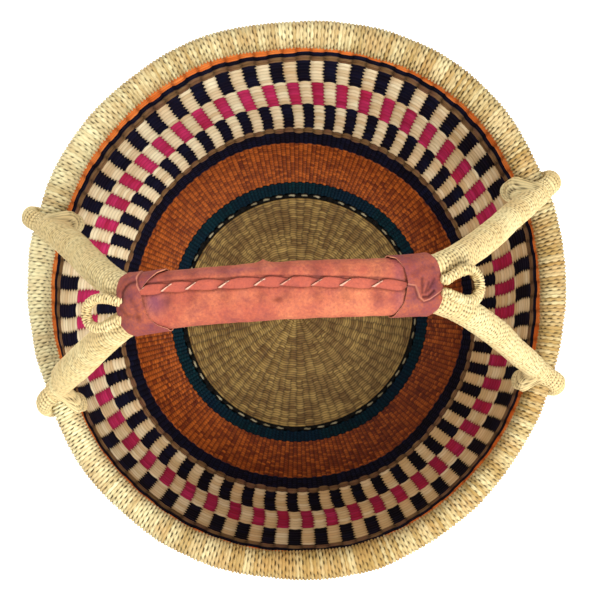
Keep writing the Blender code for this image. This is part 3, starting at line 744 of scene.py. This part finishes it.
def legLine(footName):
    end, side, _, bowShare, _, _ = feet[footName]
    foot = footLine(footName)
    start = gripPoint(end * straightHalf, side * barOffset, 0)
    inside = gripPoint(end * (straightHalf - handle["legLead"]), side * barOffset, 0)
    startPull = (start - inside) / np.linalg.norm(start - inside) * handle["startPull"]
    endPull = (foot[1] - foot[0]) / np.linalg.norm(foot[1] - foot[0]) * handle["endPull"]
    bow = gripAside * side * bowShare * np.linalg.norm(foot[0] - start)
    t = np.linspace(0, 1, handle["legSteps"], endpoint=False)[:, None]
    return (start * (1 - t) ** 2 * (1 + 2 * t) + startPull * t * (1 - t) ** 2
            + foot[0] * t ** 2 * (3 - 2 * t) + endPull * t ** 2 * (t - 1)
            + bow * (4 * t * (1 - t)) ** 2)


def halfArch(footName):
    leg, foot = legLine(footName), footLine(footName)
    t = np.linspace(0, 1, len(leg), endpoint=False)
    swell = np.sin(math.pi * t ** handle["swellPower"])
    radii = (handle["barRadius"] + (feet[footName][4] - handle["barRadius"]) * swell
             + (handle["footRadius"] - handle["barRadius"]) * t ** 4)
    return np.vstack((leg, foot)), np.concatenate((radii, np.full(len(foot), handle["footRadius"])))


def wholeArch(side, leftFoot, rightFoot):
    left, leftRadii = halfArch(leftFoot)
    right, rightRadii = halfArch(rightFoot)
    along = np.linspace(-straightHalf, straightHalf, handle["gripSteps"])[1:-1]
    middle = gripPoint(along, side * barOffset, 0)
    line = np.vstack((left[::-1], middle, right))
    return line, np.concatenate((leftRadii[::-1], np.full(len(along), handle["barRadius"]), rightRadii))


# Even steps along a line, with a frame that doesn't twist
def evenLine(line, radii, count):
    lengths = np.concatenate(([0], np.cumsum(np.linalg.norm(np.diff(line, axis=0), axis=1))))
    marks = np.linspace(0, lengths[-1], count)
    line = np.stack([np.interp(marks, lengths, line[:, axis]) for axis in range(3)], axis=1)
    radii = np.interp(marks, lengths, radii)
    ways = np.gradient(line, axis=0)
    ways /= np.linalg.norm(ways, axis=1, keepdims=True)
    normals = np.zeros_like(line)
    normal = np.cross(ways[0], (0.3, 0.9, 0.2))
    for step, way in enumerate(ways):
        normal = normal - way * normal.dot(way)
        normal /= np.linalg.norm(normal)
        normals[step] = normal
    return marks, line, radii, ways, normals, np.cross(ways, normals)


def between(marks, table, places):
    return np.stack([np.interp(places, marks, table[:, axis]) for axis in range(3)], axis=1)


# A foot is pressed flat against the rim: which way the rim lies, and how much of that is lost
def pressOnRim(line):
    angle = np.arctan2(line[:, 1], line[:, 0] / bowl["oval"])
    middle = roundPoints(rimOut, angle, rimUp)
    apart = np.linalg.norm(middle - line, axis=1)
    share = np.clip((handle["pressReach"] - apart) / handle["pressFade"], 0, 1)
    share = share * (1 - handle["footFlat"] / handle["footRadius"])
    return (middle - line) / apart[:, None], share


# A foot's tip is bound in with its leg: for each place on the leg, where the tip lies and how
# much of it is there
def bindTips(marks, line, ways):
    towards, size = np.zeros_like(line), np.zeros(len(line))
    for own in (marks, marks[-1] - marks):
        tip = line[own < footTip["length"]]
        leg = np.where((own > footTip["legStart"]) & (own < footTip["legEnd"]))[0]
        apart = tip[None] - line[leg][:, None]
        nearest = apart[np.arange(len(leg)), np.linalg.norm(apart, axis=2).argmin(axis=1)]
        past = (nearest * ways[leg]).sum(axis=1)
        nearest = nearest - ways[leg] * past[:, None]
        far = np.linalg.norm(nearest, axis=1)
        present = np.sqrt(np.clip(1 - (past / footTip["round"]) ** 2, 0, 1))
        present = present * np.clip((footTip["reach"] - far) / 0.004, 0, 1)
        smooth = np.hanning(15) / np.hanning(15).sum()
        size[leg] = np.convolve(present, smooth, "same")
        towards[leg] = nearest * size[leg][:, None]
    return towards, size


# Straw wound round and round a core as one long helix. Each column of the grid follows the
# helix, so the narrow grooves between turns stay sharp. Small pits open along them, staggered
# from turn to turn, and the grooves and pits get painted shade.
winding = {
    "places": (0.0, 0.28, 0.5, 0.72),  # where a turn's grid lines lie across it
    "lineSteps": 1200, "crestPower": 1.4, "proud": 0.00028, "tipRound": 0.95, "sway": 0.16,
    "tipWrap": 0.0008, "tipBlend": 0.0011,  # how thick and how softly a tip is bound in
}


def windStraw(name, line, radii, pitch, finish, sides=34, seed=3, pitsRound=8, swell=0.0004,
              pitDepth=0.0010, fringe=None, onRim=False):
    marks, line, radii, ways, normals, sidesways = evenLine(
        line, radii, winding["lineSteps"])
    length = marks[-1]
    turns = int(length / pitch) + 1
    pits = pitsRound + 0.5
    depthOf = handRandom(seed, int(pits * (turns + 6))) ** 2 * 2.4
    wander = 1.5 * handRandom(seed + 5, turns + 4)
    tones = 3 * (turns + 4)
    toneOf = 0.45 * handRandom(seed + 1, tones) + 0.55 * np.interp(
        np.arange(tones), np.linspace(0, tones, turns // 3), handRandom(seed + 2, turns // 3))
    proudOf = winding["proud"] * handRandom(seed + 3, 2 * (turns + 4))
    loose = handRandom(seed + 4, turns + 4)
    towardRim, flatShare = pressOnRim(line) if onRim else (ways, 0 * marks)
    towardTip, tipSize = bindTips(marks, line, ways) if onRim else (ways, 0 * marks)

    def lay(column, row):
        cell, x = acrossStrand(column, winding["places"])
        along = np.clip(pitch * (cell + x - row / sides), 0, length)
        around = row / sides * fullTurn
        crest = hump(x, winding["crestPower"])
        unwound = cell - row / sides + 1
        pitMark = pits * unwound + np.interp(unwound, np.arange(turns + 4), wander)
        wave = np.sin(fullTurn * pitMark)
        pit = np.clip(wave, 0, 1) ** 1.2 * depthOf[np.floor(pitMark + 1e-6).astype(int)]
        height = (swell + proudOf[np.floor(2 * unwound + 1e-6).astype(int)]) * crest
        height = height - pitDepth * (0.2 + 0.6 * pit) * (1 - crest)
        tipShare = np.clip(np.minimum(along, length - along) / (radii[0] * winding["tipRound"]), 0, 1)
        tipShare = np.sqrt(1 - (1 - tipShare) ** 2)
        place = between(marks, line, along)
        ring = (np.cos(around)[:, None] * between(marks, normals, along)
                + np.sin(around)[:, None] * between(marks, sidesways, along))
        radius = np.interp(along, marks, radii)
        if fringe:
            height = height + fringe(along / length, around, loose[cell.astype(int)], x)
        if onRim:
            rimWay = between(marks, towardRim, along)
            press = (ring * rimWay).sum(axis=1) * np.interp(along, marks, flatShare)
            bundle = between(marks, towardTip, along)
            tipRadius = (handle["footRadius"] + winding["tipWrap"]) * np.interp(along, marks, tipSize)
            beyond = (bundle * ring).sum(axis=1) + tipRadius - radius
            taken = 1 / (1 + np.exp(-beyond / winding["tipBlend"])) * (tipRadius > 0.0002)
            body = (ring - rimWay * press[:, None]) * (radius * (1 - taken) + tipRadius * taken)[:, None]
            points = place + (body + ring * height[:, None]) * tipShare[:, None] + bundle * taken[:, None]
        else:
            points = place + ring * ((radius + height) * tipShare)[:, None]
        sway = winding["sway"] * pitch * wave * np.cos(math.pi * x) * tipShare
        points = points + between(marks, ways, along) * sway[:, None]
        # painted shade in the grooves between turns and in the pits
        return points, np.clip(1 - 1.5 * (1 - crest) * np.clip(0.3 + 1.2 * pit, 0, 1.1), 0, 1)

    def tone(column, row):
        unwound = np.floor(column / len(winding["places"])) - row / sides + 1
        return toneOf[np.floor(3 * unwound).astype(int)]

    piece = layGrid(name, len(winding["places"]) * (turns + 1), sides, lay, [finish],
                    (length, 0.055), tone)
    turnFibres(piece)
    return piece


footTip = {"length": 0.034, "legStart": 0.084, "legEnd": 0.150, "round": 0.013, "reach": 0.026}
for archName, side, leftFoot, rightFoot in (("back", 1, "backLeft", "backRight"),
                                            ("front", -1, "frontLeft", "frontRight")):
    archLine, archRadii = wholeArch(side, leftFoot, rightFoot)
    binding = windStraw(archName + "ArchBinding", archLine, archRadii, handle["windingPitch"],
                        handleStraw, sides=88, seed=60 + 5 * side, pitsRound=17, onRim=True,
                        swell=0.0005)
    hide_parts(archName + "_arch_binding")
    core = windStraw(archName + "ArchCore", archLine[6:-6], archRadii[6:-6] * handle["coreShare"],
                     handle["corePitch"], grassCore, sides=10, seed=80 + side, swell=0.0001,
                     pitDepth=0.0001)
    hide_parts(archName + "_arch_core")
print("arches wound")


# Goat leather, tanned and dyed by hand: soft, nearly matt, mottled where the dye took unevenly,
# with painted purple shade, painted shade in folds, fine grain (0.6 mm, drawn at 1.8 mm) and pale cut edges.
leatherLook = {
    # each pattern's size, detail and roughness, and from where to where and how strongly it shows
    "mottle": ((0.018, 4.0, 0.55), (0.40, 0.68, 0.8)),
    "cloud": ((0.011, 3.0, 0.6), (0.52, 0.75, 0.7)), "cloudPlace": (0.31, 0.17, 0.05),
    "grain": ((0.0018, 4.0, 0.65), (0.35, 0.68, 0.55)), "grainBump": (0.4, 0.0006),
    "wrinkle": (0.006, 3.0, 0.6), "wrinkleBump": (0.5, 0.0022),
    "foldShade": "6a3844", "shine": 0.2,
}


def leatherFinish(name, base, warm, cool, purpleShadeHex="6d3a52", edgeHex="f0b898", roughness=0.72):
    material, tree, shader = newMaterial(name)
    place = addNode(tree, "TexCoord").outputs["Object"]
    cloudPlace = addNode(tree, "Mapping", {"Vector": place, "Location": leatherLook["cloudPlace"]})
    grain = addNoise(tree, place, *leatherLook["grain"][0])
    wrinkle = addNoise(tree, place, *leatherLook["wrinkle"], Distortion=0.8)
    colour = base
    for look, pattern, hexCode in (("mottle", addNoise(tree, place, *leatherLook["mottle"][0]), warm),
                                   ("cloud", addNoise(tree, cloudPlace.outputs[0],
                                                      *leatherLook["cloud"][0]), cool),
                                   ("grain", grain, cool)):
        colour = addMix(tree, addSpread(tree, pattern, *leatherLook[look][1]), colour, hexCode)
    # painted purple shade where folds, collars and the lace shade the leather
    colour = addMix(tree, onPiece(tree, "purpleShade"), colour, purpleShadeHex)
    colour = addMix(tree, onPiece(tree, "cutEdge"), colour, edgeHex)
    foldShade = addMix(tree, onPiece(tree, "paintedLight"), leatherLook["foldShade"], "ffffff")
    colour = addMix(tree, 1.0, colour, foldShade, blend_type="MULTIPLY")
    creased = addBump(tree, wrinkle, *leatherLook["wrinkleBump"])
    bumped = addBump(tree, grain, *leatherLook["grainBump"], Normal=creased)
    endMaterial(tree, shader, colour, bumped, roughness, leatherLook["shine"])
    return material


sleeveLeather = leatherFinish("salmonGoatLeather", "b05840", "d47e54", "7e3e3c")
laceLeather = leatherFinish("salmonLaceLeather", "ae5440", "b85e46", "8a443c", edgeHex="f4c8ac")
collarLeather = leatherFinish("redGoatLeather", "904436", "b4603c", "643444", purpleShadeHex="50283c",
                              edgeHex="c88468")
rawEdgeLeather = leatherFinish("rawCutLeatherEdge", "bc7c5e", "cc8e6e", "a86a54", roughness=0.7)

leather = {
    "thickness": 0.0013, "seamHalf": 0.0006, "setback": 0.002, "collarLength": 0.031,
    # the seam wanders over the grip's top: place along it and how far aside, in millimetres
    "seamMarks": ((-90, 7.6), (-82, 7.5), (-60, 7.1), (-47, 6.6), (-28, 5.9), (-11, 6.0), (6, 4.9),
                  (25, 3.7), (43, 3.0), (62, 1.6), (75, -0.4), (90, -1.5)),
    # where the lace goes down through the leather, in millimetres along the grip
    "crossings": (-82.5, -66.2, -51.4, -31.9, -10.7, 4.4, 22.7, 39.3, 58.4, 77.0),
}
laceCrossings = np.array(leather["crossings"]) / 1000


def seamAside(along):
    return np.interp(along * 1000, *zip(*leather["seamMarks"])) / 1000


def bendAt(along):
    return np.interp(along, bendMarks, bendSizes)


# A crease or bulge across x: how high it is, where its middle is and how wide it is
def crease(x, size, place, width):
    return size * bell(x - place, width)


# Round two bars side by side: share 0 is the top middle, 0.25 the back side, 0.5 underneath
def roundBars(share, halfSpacing, radius):
    arc = math.pi * radius
    total = 4 * halfSpacing + 2 * arc
    s = share % 1.0 * total
    sides = [s <= halfSpacing, s <= halfSpacing + arc, s <= 3 * halfSpacing + arc,
             s <= 3 * halfSpacing + 2 * arc]  # top, back, underneath, front and top again
    backTurn = math.pi / 2 - (s - halfSpacing) / radius
    frontTurn = -math.pi / 2 - (s - 3 * halfSpacing - arc) / radius
    aside = np.select(sides, [s, halfSpacing + radius * np.cos(backTurn), 2 * halfSpacing + arc - s,
                              -halfSpacing + radius * np.cos(frontTurn)], s - total)
    awayAside = np.select(sides, [0.0, np.cos(backTurn), 0.0, np.cos(frontTurn)], 0.0)
    awayAbove = np.select(sides, [1.0, np.sin(backTurn), -1.0, np.sin(frontTurn)], 1.0)
    return aside, radius * awayAbove, awayAside, awayAbove


# How far places lie from a line of marks (millimetres), more than 0 on its left, and how much
# of the line's strength is left there: it fades where the nearest mark is one of its ends
def besideLine(x, y, marks, fade=0.0015):
    marks = np.array(marks) / 1000
    nearest, strength = np.full(len(x), 1.0), np.zeros(len(x))
    for number, (start, end) in enumerate(zip(marks, marks[1:])):
        way = end - start
        t = ((x - start[0]) * way[0] + (y - start[1]) * way[1]) / way.dot(way)
        past = np.maximum(-t if number == 0 else 0, t - 1 if number == len(marks) - 2 else 0)
        past = np.maximum(past, 0) * np.linalg.norm(way)
        t = np.clip(t, 0, 1)
        apart = np.hypot(x - start[0] - t * way[0], y - start[1] - t * way[1])
        side = np.where(way[0] * (y - start[1]) - way[1] * (x - start[0]) > 0, 1, -1)
        nearer = apart < np.abs(nearest)
        nearest = np.where(nearer, side * apart, nearest)
        strength = np.where(nearer, bell(past, fade), strength)
    return nearest, strength


def finishLeather(piece, thickness, offset=-1.0, edgeFinish=rawEdgeLeather):
    piece.data.materials.append(edgeFinish)
    wall = piece.modifiers.new("thickness", "SOLIDIFY")
    wall.thickness = thickness
    wall.offset = offset
    wall.material_offset_rim = 1
    return piece


# The sleeve: one piece of leather round both bars, its two edges drawn together on top.
# Its creases and bulges are measured on the photograph: size, place and width.
sleeveShape = {
    "columns": 260, "rows": 170, "slack": 0.0007, "pullWidth": 0.0035,
    "dip": (0.0007, 0, 0.0030), "lip": (0.0002, 0.0054, 0.0016), "gather": (0.0005, 0.0078, 0.0036),
    "peak": (0.0024, -0.0082, 0.0028, 0.006),
    "dent": (0.0009, -0.0006, 0.0028), "dentAside": (1, -0.0055, 0.0016),
    "seamShade": (0.5, 0, 0.003), "backShade": (0.0034, 0.0006), "frontShade": (-0.0036, 0.0008),
    # painted purple shade on the sleeve: strength, place and width
    "leftPurpleShade": (0.75, -0.0745, 0.0062), "leftPurpleShadeAside": (1, -0.001, 0.0075),
    "rightPurpleShade": (0.35, 0.0720, 0.0032),
    "seamPurpleShade": (0.35, 0.008, 0.002), "seamPurpleShadeAlong": (1, -0.026, 0.03),
}


def makeSleeve():
    columns, rows, made = sleeveShape["columns"], sleeveShape["rows"], sleeveShape
    limit = straightHalf - leather["setback"]
    radius = handle["barRadius"] + handle["gap"] + leather["thickness"]
    slackAt, shadeAt = handRandom(91, 30), handRandom(93, 40)

    def lay(column, row):
        along = limit * (2 * column / columns - 1)
        total = 4 * barOffset + fullTurn * radius
        seam = seamAside(along)
        seamShare = leather["seamHalf"] / total
        share = seam / total + seamShare + (1 - 2 * seamShare) * row / rows
        aside, above, awayAside, awayAbove = roundBars(share, barOffset, radius)
        onTop = above > 0.3 * radius
        fromSeam = aside - seam
        pull = bell(np.abs(along[:, None] - laceCrossings[None]).min(axis=1), made["pullWidth"])
        lip = crease(np.abs(fromSeam), *made["lip"]) * (1.0 - 0.75 * pull)
        gather = crease(np.abs(fromSeam), *made["gather"]) * pull * onTop
        dent = crease(along, *made["dent"]) * crease(aside, *made["dentAside"]) * onTop
        slack = np.interp(along, np.linspace(-limit, limit, 30), slackAt) - 0.5
        soft = made["slack"] * slack * np.cos(share * 2 * fullTurn + 1.0)
        peakHigh, peakAlong, peakLong, peakDeep = made["peak"]
        peak = peakHigh * np.exp(-np.abs(along - peakAlong) / peakLong) * bell(above, peakDeep) * (aside > 0)
        high = soft + peak + (lip - crease(fromSeam, *made["dip"])) * onTop - gather - dent
        points = gripPoint(along, aside + awayAside * high, above + awayAbove * high)
        uneven = np.interp(along, np.linspace(-limit, limit, 40), shadeAt)
        behind = (crease(fromSeam, 0.3 + 0.7 * uneven, *made["backShade"])
                  + crease(fromSeam, 0.5 * (1 - uneven), *made["frontShade"]))
        shade = 1 - (0.65 * behind + crease(fromSeam, *made["seamShade"])) * onTop
        shade = shade - 0.6 * dent / made["dent"][0] - 0.3 * gather / made["gather"][0]
        # painted purple shade near the left collar, at the right end and beside the seam
        purpleShade = (crease(along, *made["leftPurpleShade"]) * crease(aside, *made["leftPurpleShadeAside"])
                  + crease(along, *made["rightPurpleShade"])
                  + crease(fromSeam, *made["seamPurpleShade"]) * crease(along, *made["seamPurpleShadeAlong"]))
        return points, np.clip(shade, 0, 1), np.clip(purpleShade * (above > 0), 0, 1), np.zeros(len(along))

    sleeve = layGrid("leatherSleeve", columns, rows, lay, [sleeveLeather], (0.17, 0.1), shaped=False)
    return finishLeather(sleeve, leather["thickness"])


sleeve = makeSleeve()
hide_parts("leather_sleeve")


# The lace: a flat strip given half a turn at each crossing, so it shows as a row of flat facets
# with the pale cut edge slanting across between them
laceShape = {
    "facetSteps": 20, "rows": 10, "width": 0.0066, "thickness": 0.0007, "slant": 0.0034,
    "turn": 0.0002, "aside": 0.0004, "wander": 0.0006, "above": 0.0001, "rise": 0.0013, "dome": 0.0003,
}


def makeLace():
    perFacet, rows, made = laceShape["facetSteps"], laceShape["rows"], laceShape
    facets = len(laceCrossings) - 1
    top = handle["barRadius"] + handle["gap"] + leather["thickness"]
    sideOf = handRandom(95, facets + 1) - 0.5
    paleOf = 0.3 + 0.6 * handRandom(96, facets + 2)
    partMarks = np.concatenate(([0, 0.012], np.linspace(0.05, 0.95, perFacet - 4), [0.988, 1]))

    def lay(column, row):
        whole = np.clip(np.floor(column / perFacet + 1e-6), 0, facets - 1).astype(int)
        step = np.rint(column - whole * perFacet).astype(int)
        part = partMarks[np.clip(step, 0, perFacet - 1)]
        v = row / rows * 2 - 1
        nearEnd = 1 - hump(part, 3)
        along = laceCrossings[whole] * (1 - part) + laceCrossings[whole + 1] * part
        along = along + (made["slant"] * v + made["turn"] * np.sign(0.5 - part)) * nearEnd
        bulge = np.sin(math.pi * part)
        aside = seamAside(along) - made["aside"] + made["wander"] * sideOf[whole] * bulge
        aside = aside + v * made["width"] / 2 * (0.58 + 0.42 * bulge ** 0.8)
        above = top + made["above"] + made["rise"] * (1 - part) + made["dome"] * (1 - v ** 2)
        edge = np.where(np.abs(2 * part - 1) > 0.95, paleOf[whole + (part > 0.5)], 0)
        shade = 1 - 0.5 * np.clip((part - 0.75) * 4, 0, 1) - 0.25 * np.abs(v) ** 6
        return gripPoint(along, aside, above), shade, 0 * part, edge

    lace = layGrid("leatherLace", facets * perFacet - 1, rows, lay, [laceLeather], (0.16, 0.008),
                   shaped=False)
    return finishLeather(lace, laceShape["thickness"], 0.0, laceLeather)


lace = makeLace()
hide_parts("leather_lace")
print("sleeve and lace made")


# Where the two bars of an end are, some way along the grip: the middle between them, aside
# and above, and half their spacing
def barPlaces(endName, distance):
    places = []
    for side in ("back", "front"):
        end, sign = feet[side + endName][:2]
        leg = legLine(side + endName)[:40]
        middle = gripPoint(0, 0, 0) - gripAside * bendAt(0.0)
        reached = (leg - middle) @ gripLine * end
        asideOf = (leg - middle) @ gripAside - bendAt(end * reached)
        aboveOf = leg[:, 2] - gripPoint(end * reached, 0, 0)[:, 2]
        onGrip = distance <= straightHalf
        places.append((np.where(onGrip, sign * barOffset, np.interp(distance, reached, asideOf)),
                       np.where(onGrip, 0, np.interp(distance, reached, aboveOf))))
    (backAside, backAbove), (frontAside, frontAbove) = places
    return (backAside + frontAside) / 2, (backAbove + frontAbove) / 2, (backAside - frontAside) / 2


# A collar: a strip drawn tight round the sleeve's end and the parting bars, overlapping itself.
# Edges and marks are places along and aside in millimetres. Each fold adds its width, depth
# and shade; a flap is the free edge of the overlap, raised on its left.
collars = {
    "Left": {
        "end": -1,
        "inner": ((-21, 68.0), (-17.9, 68.5), (-15.7, 73.4), (-10.5, 78.0), (-2.4, 80.6), (5.7, 81.9),
                  (6.9, 81.5), (9.2, 79.8), (13.2, 76.4), (17.1, 72.4), (19.0, 68.5), (22, 67.5)),
        "outer": ((-21.6, 87.6), (-18.6, 92.4), (-11.5, 97.7), (-4.0, 99.4), (2.2, 99.3), (8.2, 98.5),
                  (15.4, 95.8), (19.0, 91.1), (22, 88)),
        "flap": ((-81.5, 6.0), (-83.0, 9.4), (-83.9, 13.5), (-83.0, 19.0)), "flapHigh": 0.0009,
        "folds": ((((-94.0, 0.5), (-93.3, 6.6), (-90.5, 10.0), (-87.8, 11.7), (-84.6, 12.0)),
                   0.0016, 0.0010, 0.75),
                  (((-96.0, -3.0), (-91.0, -8.0), (-84.0, -9.5)), 0.0020, 0.0006, 0.35),
                  (((-88.0, 1.5), (-85.0, -3.5), (-84.0, -12.0)), 0.0018, 0.0005, 0.30),
                  (((-97.0, 6.0), (-90.0, 15.0)), 0.0022, 0.0006, 0.25)),
        "purpleShades": ((-88.5, 4.0, 4.5, 3.5, 0.55), (-90.0, -13.0, 5.0, 3.0, 0.35)),
    },
    "Right": {
        "end": 1,
        "inner": ((-21, 69.0), (-18.4, 69.7), (-12.1, 73.7), (-5.9, 75.5), (-0.5, 76.5), (4.3, 76.2),
                  (9.8, 75.2), (16.5, 71.4), (17.5, 68.6), (21, 67.5)),
        "outer": ((-21, 89), (-19.3, 91.4), (-16.3, 95.4), (-11.0, 98.3), (-6.1, 99.8), (1.2, 99.8),
                  (8.7, 98.4), (14.9, 96.3), (18.4, 93.2), (21, 90)),
        "flap": ((76.5, -0.5), (80.7, -1.5), (82.6, -8.7), (85.3, -11.1), (88.9, -10.2), (94.8, -7.0),
                 (99.5, -4.5)), "flapHigh": 0.0013,
        "folds": ((((85.0, -8.6), (88.0, -8.6), (92.5, -5.0)), 0.0012, 0.0009, 0.85),
                  (((84.4, -6.5), (84.8, -2.0), (85.3, 3.0)), 0.0012, 0.0008, 0.55),
                  (((86.4, -6.0), (87.8, -3.0), (89.4, 0.4)), 0.0011, 0.0007, 0.50),
                  (((88.4, -5.0), (90.6, -1.5), (93.6, 2.4)), 0.0012, 0.0007, 0.45),
                  (((80.0, 6.0), (86.0, 9.5), (94.0, 10.0)), 0.0024, 0.0006, 0.25)),
        "purpleShades": ((92.5, -2.5, 3.5, 4.5, 0.60), (80.0, -8.0, 2.6, 4.5, 0.45), (84.5, 13.0, 6.0, 2.5, 0.25)),
    },
}
collarShape = {
    "columns": 110, "rows": 300, "hidden": 67.5, "hiddenWave": 0.6,
    "swell": 0.0005, "ripple": 0.0004, "flapStep": 0.00025, "flapReach": 0.006,
    "flapEdge": (0.8, 0.0001, 0.0003), "flapShade": (0.5, -0.0008, 0.0006),
}


def makeCollar(endName):
    made = collars[endName]
    end = made["end"]
    columns, rows = collarShape["columns"], collarShape["rows"]
    radius = handle["barRadius"] + 2 * leather["thickness"] + 2 * handle["gap"]

    def lay(column, row):
        way, share = column / columns, row / rows
        distance = np.full(len(way), handle["gripHalf"] - leather["collarLength"] / 2)
        for _ in range(3):
            asideMiddle, aboveMiddle, halfSpacing = barPlaces(endName, distance)
            aside, above, awayAside, awayAbove = roundBars(share, halfSpacing, radius)
            seen = (aside + asideMiddle + bendAt(end * distance)) * 1000
            innerEdge = np.interp(seen, *zip(*made["inner"]))
            outerEdge = np.interp(seen, *zip(*made["outer"]))
            onTop = np.clip(0.5 + above / radius / 0.9, 0, 1)
            hiddenEdge = collarShape["hidden"] + collarShape["hiddenWave"] * np.sin(seen / 3)
            innerEdge = innerEdge * onTop + hiddenEdge * (1 - onTop)
            distance = (innerEdge * (1 - way) + outerEdge * way) / 1000
        x, y = end * distance, seen / 1000
        onTop = above > 0
        high = (collarShape["swell"] * np.sin(math.pi * way)
                + collarShape["ripple"] * np.sin(fullTurn * (2 * share + 0.6 * way)))
        shade, purpleShade = np.ones(len(way)), np.zeros(len(way))
        for marks, width, deep, dark in made["folds"]:
            apart, strength = besideLine(x, y, marks)
            strength = strength * onTop
            high = high - deep * (bell(apart, width) - 0.6 * bell(apart - 1.7 * width, width)) * strength
            shade = shade - dark * bell(apart, 0.7 * width) * strength
        # painted purple shade by the folds: place along and aside, length, width and strength
        for placeAlong, placeAside, long, wide, dark in made["purpleShades"]:
            purpleShade = purpleShade + dark * bell(x * 1000 - placeAlong, long) * bell(seen - placeAside, wide) * onTop
        apart, strength = besideLine(x, y, made["flap"])
        strength = strength * onTop
        raised = 0.5 + 0.5 * np.tanh(apart / collarShape["flapStep"])
        high = high + made["flapHigh"] * raised * np.exp(-np.abs(apart) / collarShape["flapReach"]) * strength
        edge = crease(apart, *collarShape["flapEdge"]) * strength
        shade = shade - crease(apart, *collarShape["flapShade"]) * strength
        points = gripPoint(end * distance, aside + asideMiddle + awayAside * high,
                           above + aboveMiddle + awayAbove * high)
        return points, np.clip(shade, 0, 1), np.clip(purpleShade, 0, 1), np.clip(edge, 0, 1)

    collar = layGrid("leatherCollar" + endName, columns, rows, lay, [collarLeather], (0.03, 0.11),
                     shaped=False)
    return finishLeather(collar, leather["thickness"] * 0.6)


for endName in ("Left", "Right"):
    collar = makeCollar(endName)
    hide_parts(endName.lower() + "_collar")
print("collars made")


# Throat loops: small wrapped loops that stand out of the collars between the parting bars
throat = {
    "radius": 0.0029, "fall": 0.004, "clearance": 0.0020, "tuck": 0.004, "pitch": 0.0018,
    "fringe": (0.0018, 0.5, 0.22),  # how far loose straw stands up, where and over how much
    # reach, half width at the collar, how much wider it grows, how far aside it lies
    "Left": (0.0232, 0.0058, 0.0048, -0.0036),
    "Right": (0.0230, 0.0042, 0.0067, -0.0022),
}


def makeThroatLoop(endName):
    end = collars[endName]["end"]
    reach, startHalf, swellHalf, middleAside = throat[endName]
    start = handle["gripHalf"] + handle["gap"]
    _, barsAbove, _ = barPlaces(endName, np.array([start]))
    above = float(barsAbove[0]) + handle["barRadius"] + throat["radius"] + throat["clearance"]
    angle = np.linspace(0, math.pi, 60)
    distance = np.concatenate(([start - throat["tuck"]], start + reach * np.sin(angle),
                               [start - throat["tuck"]]))
    aside = startHalf * np.cos(angle) + swellHalf * np.sin(2 * angle)
    aside = np.concatenate(([startHalf], aside, [-startHalf]))
    fall = throat["fall"] * ((distance - start) / reach) ** 2
    line = gripPoint(end * distance, aside + middleAside, above - fall)

    def ends(share, around, loose, x):
        middle = crease(share, *throat["fringe"])
        return middle * loose * (x > 0.3) * np.clip(np.cos(around - 1.2), 0, 1) ** 2

    return windStraw("throatLoop" + endName, line, np.full(len(line), throat["radius"]), throat["pitch"],
                     handleStraw, sides=22, seed=130 + end, pitsRound=4, fringe=ends if end > 0 else None)


for endName in ("Left", "Right"):
    loop = makeThroatLoop(endName)
    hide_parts(endName.lower() + "_throat_loop")
print("throat loops wound")
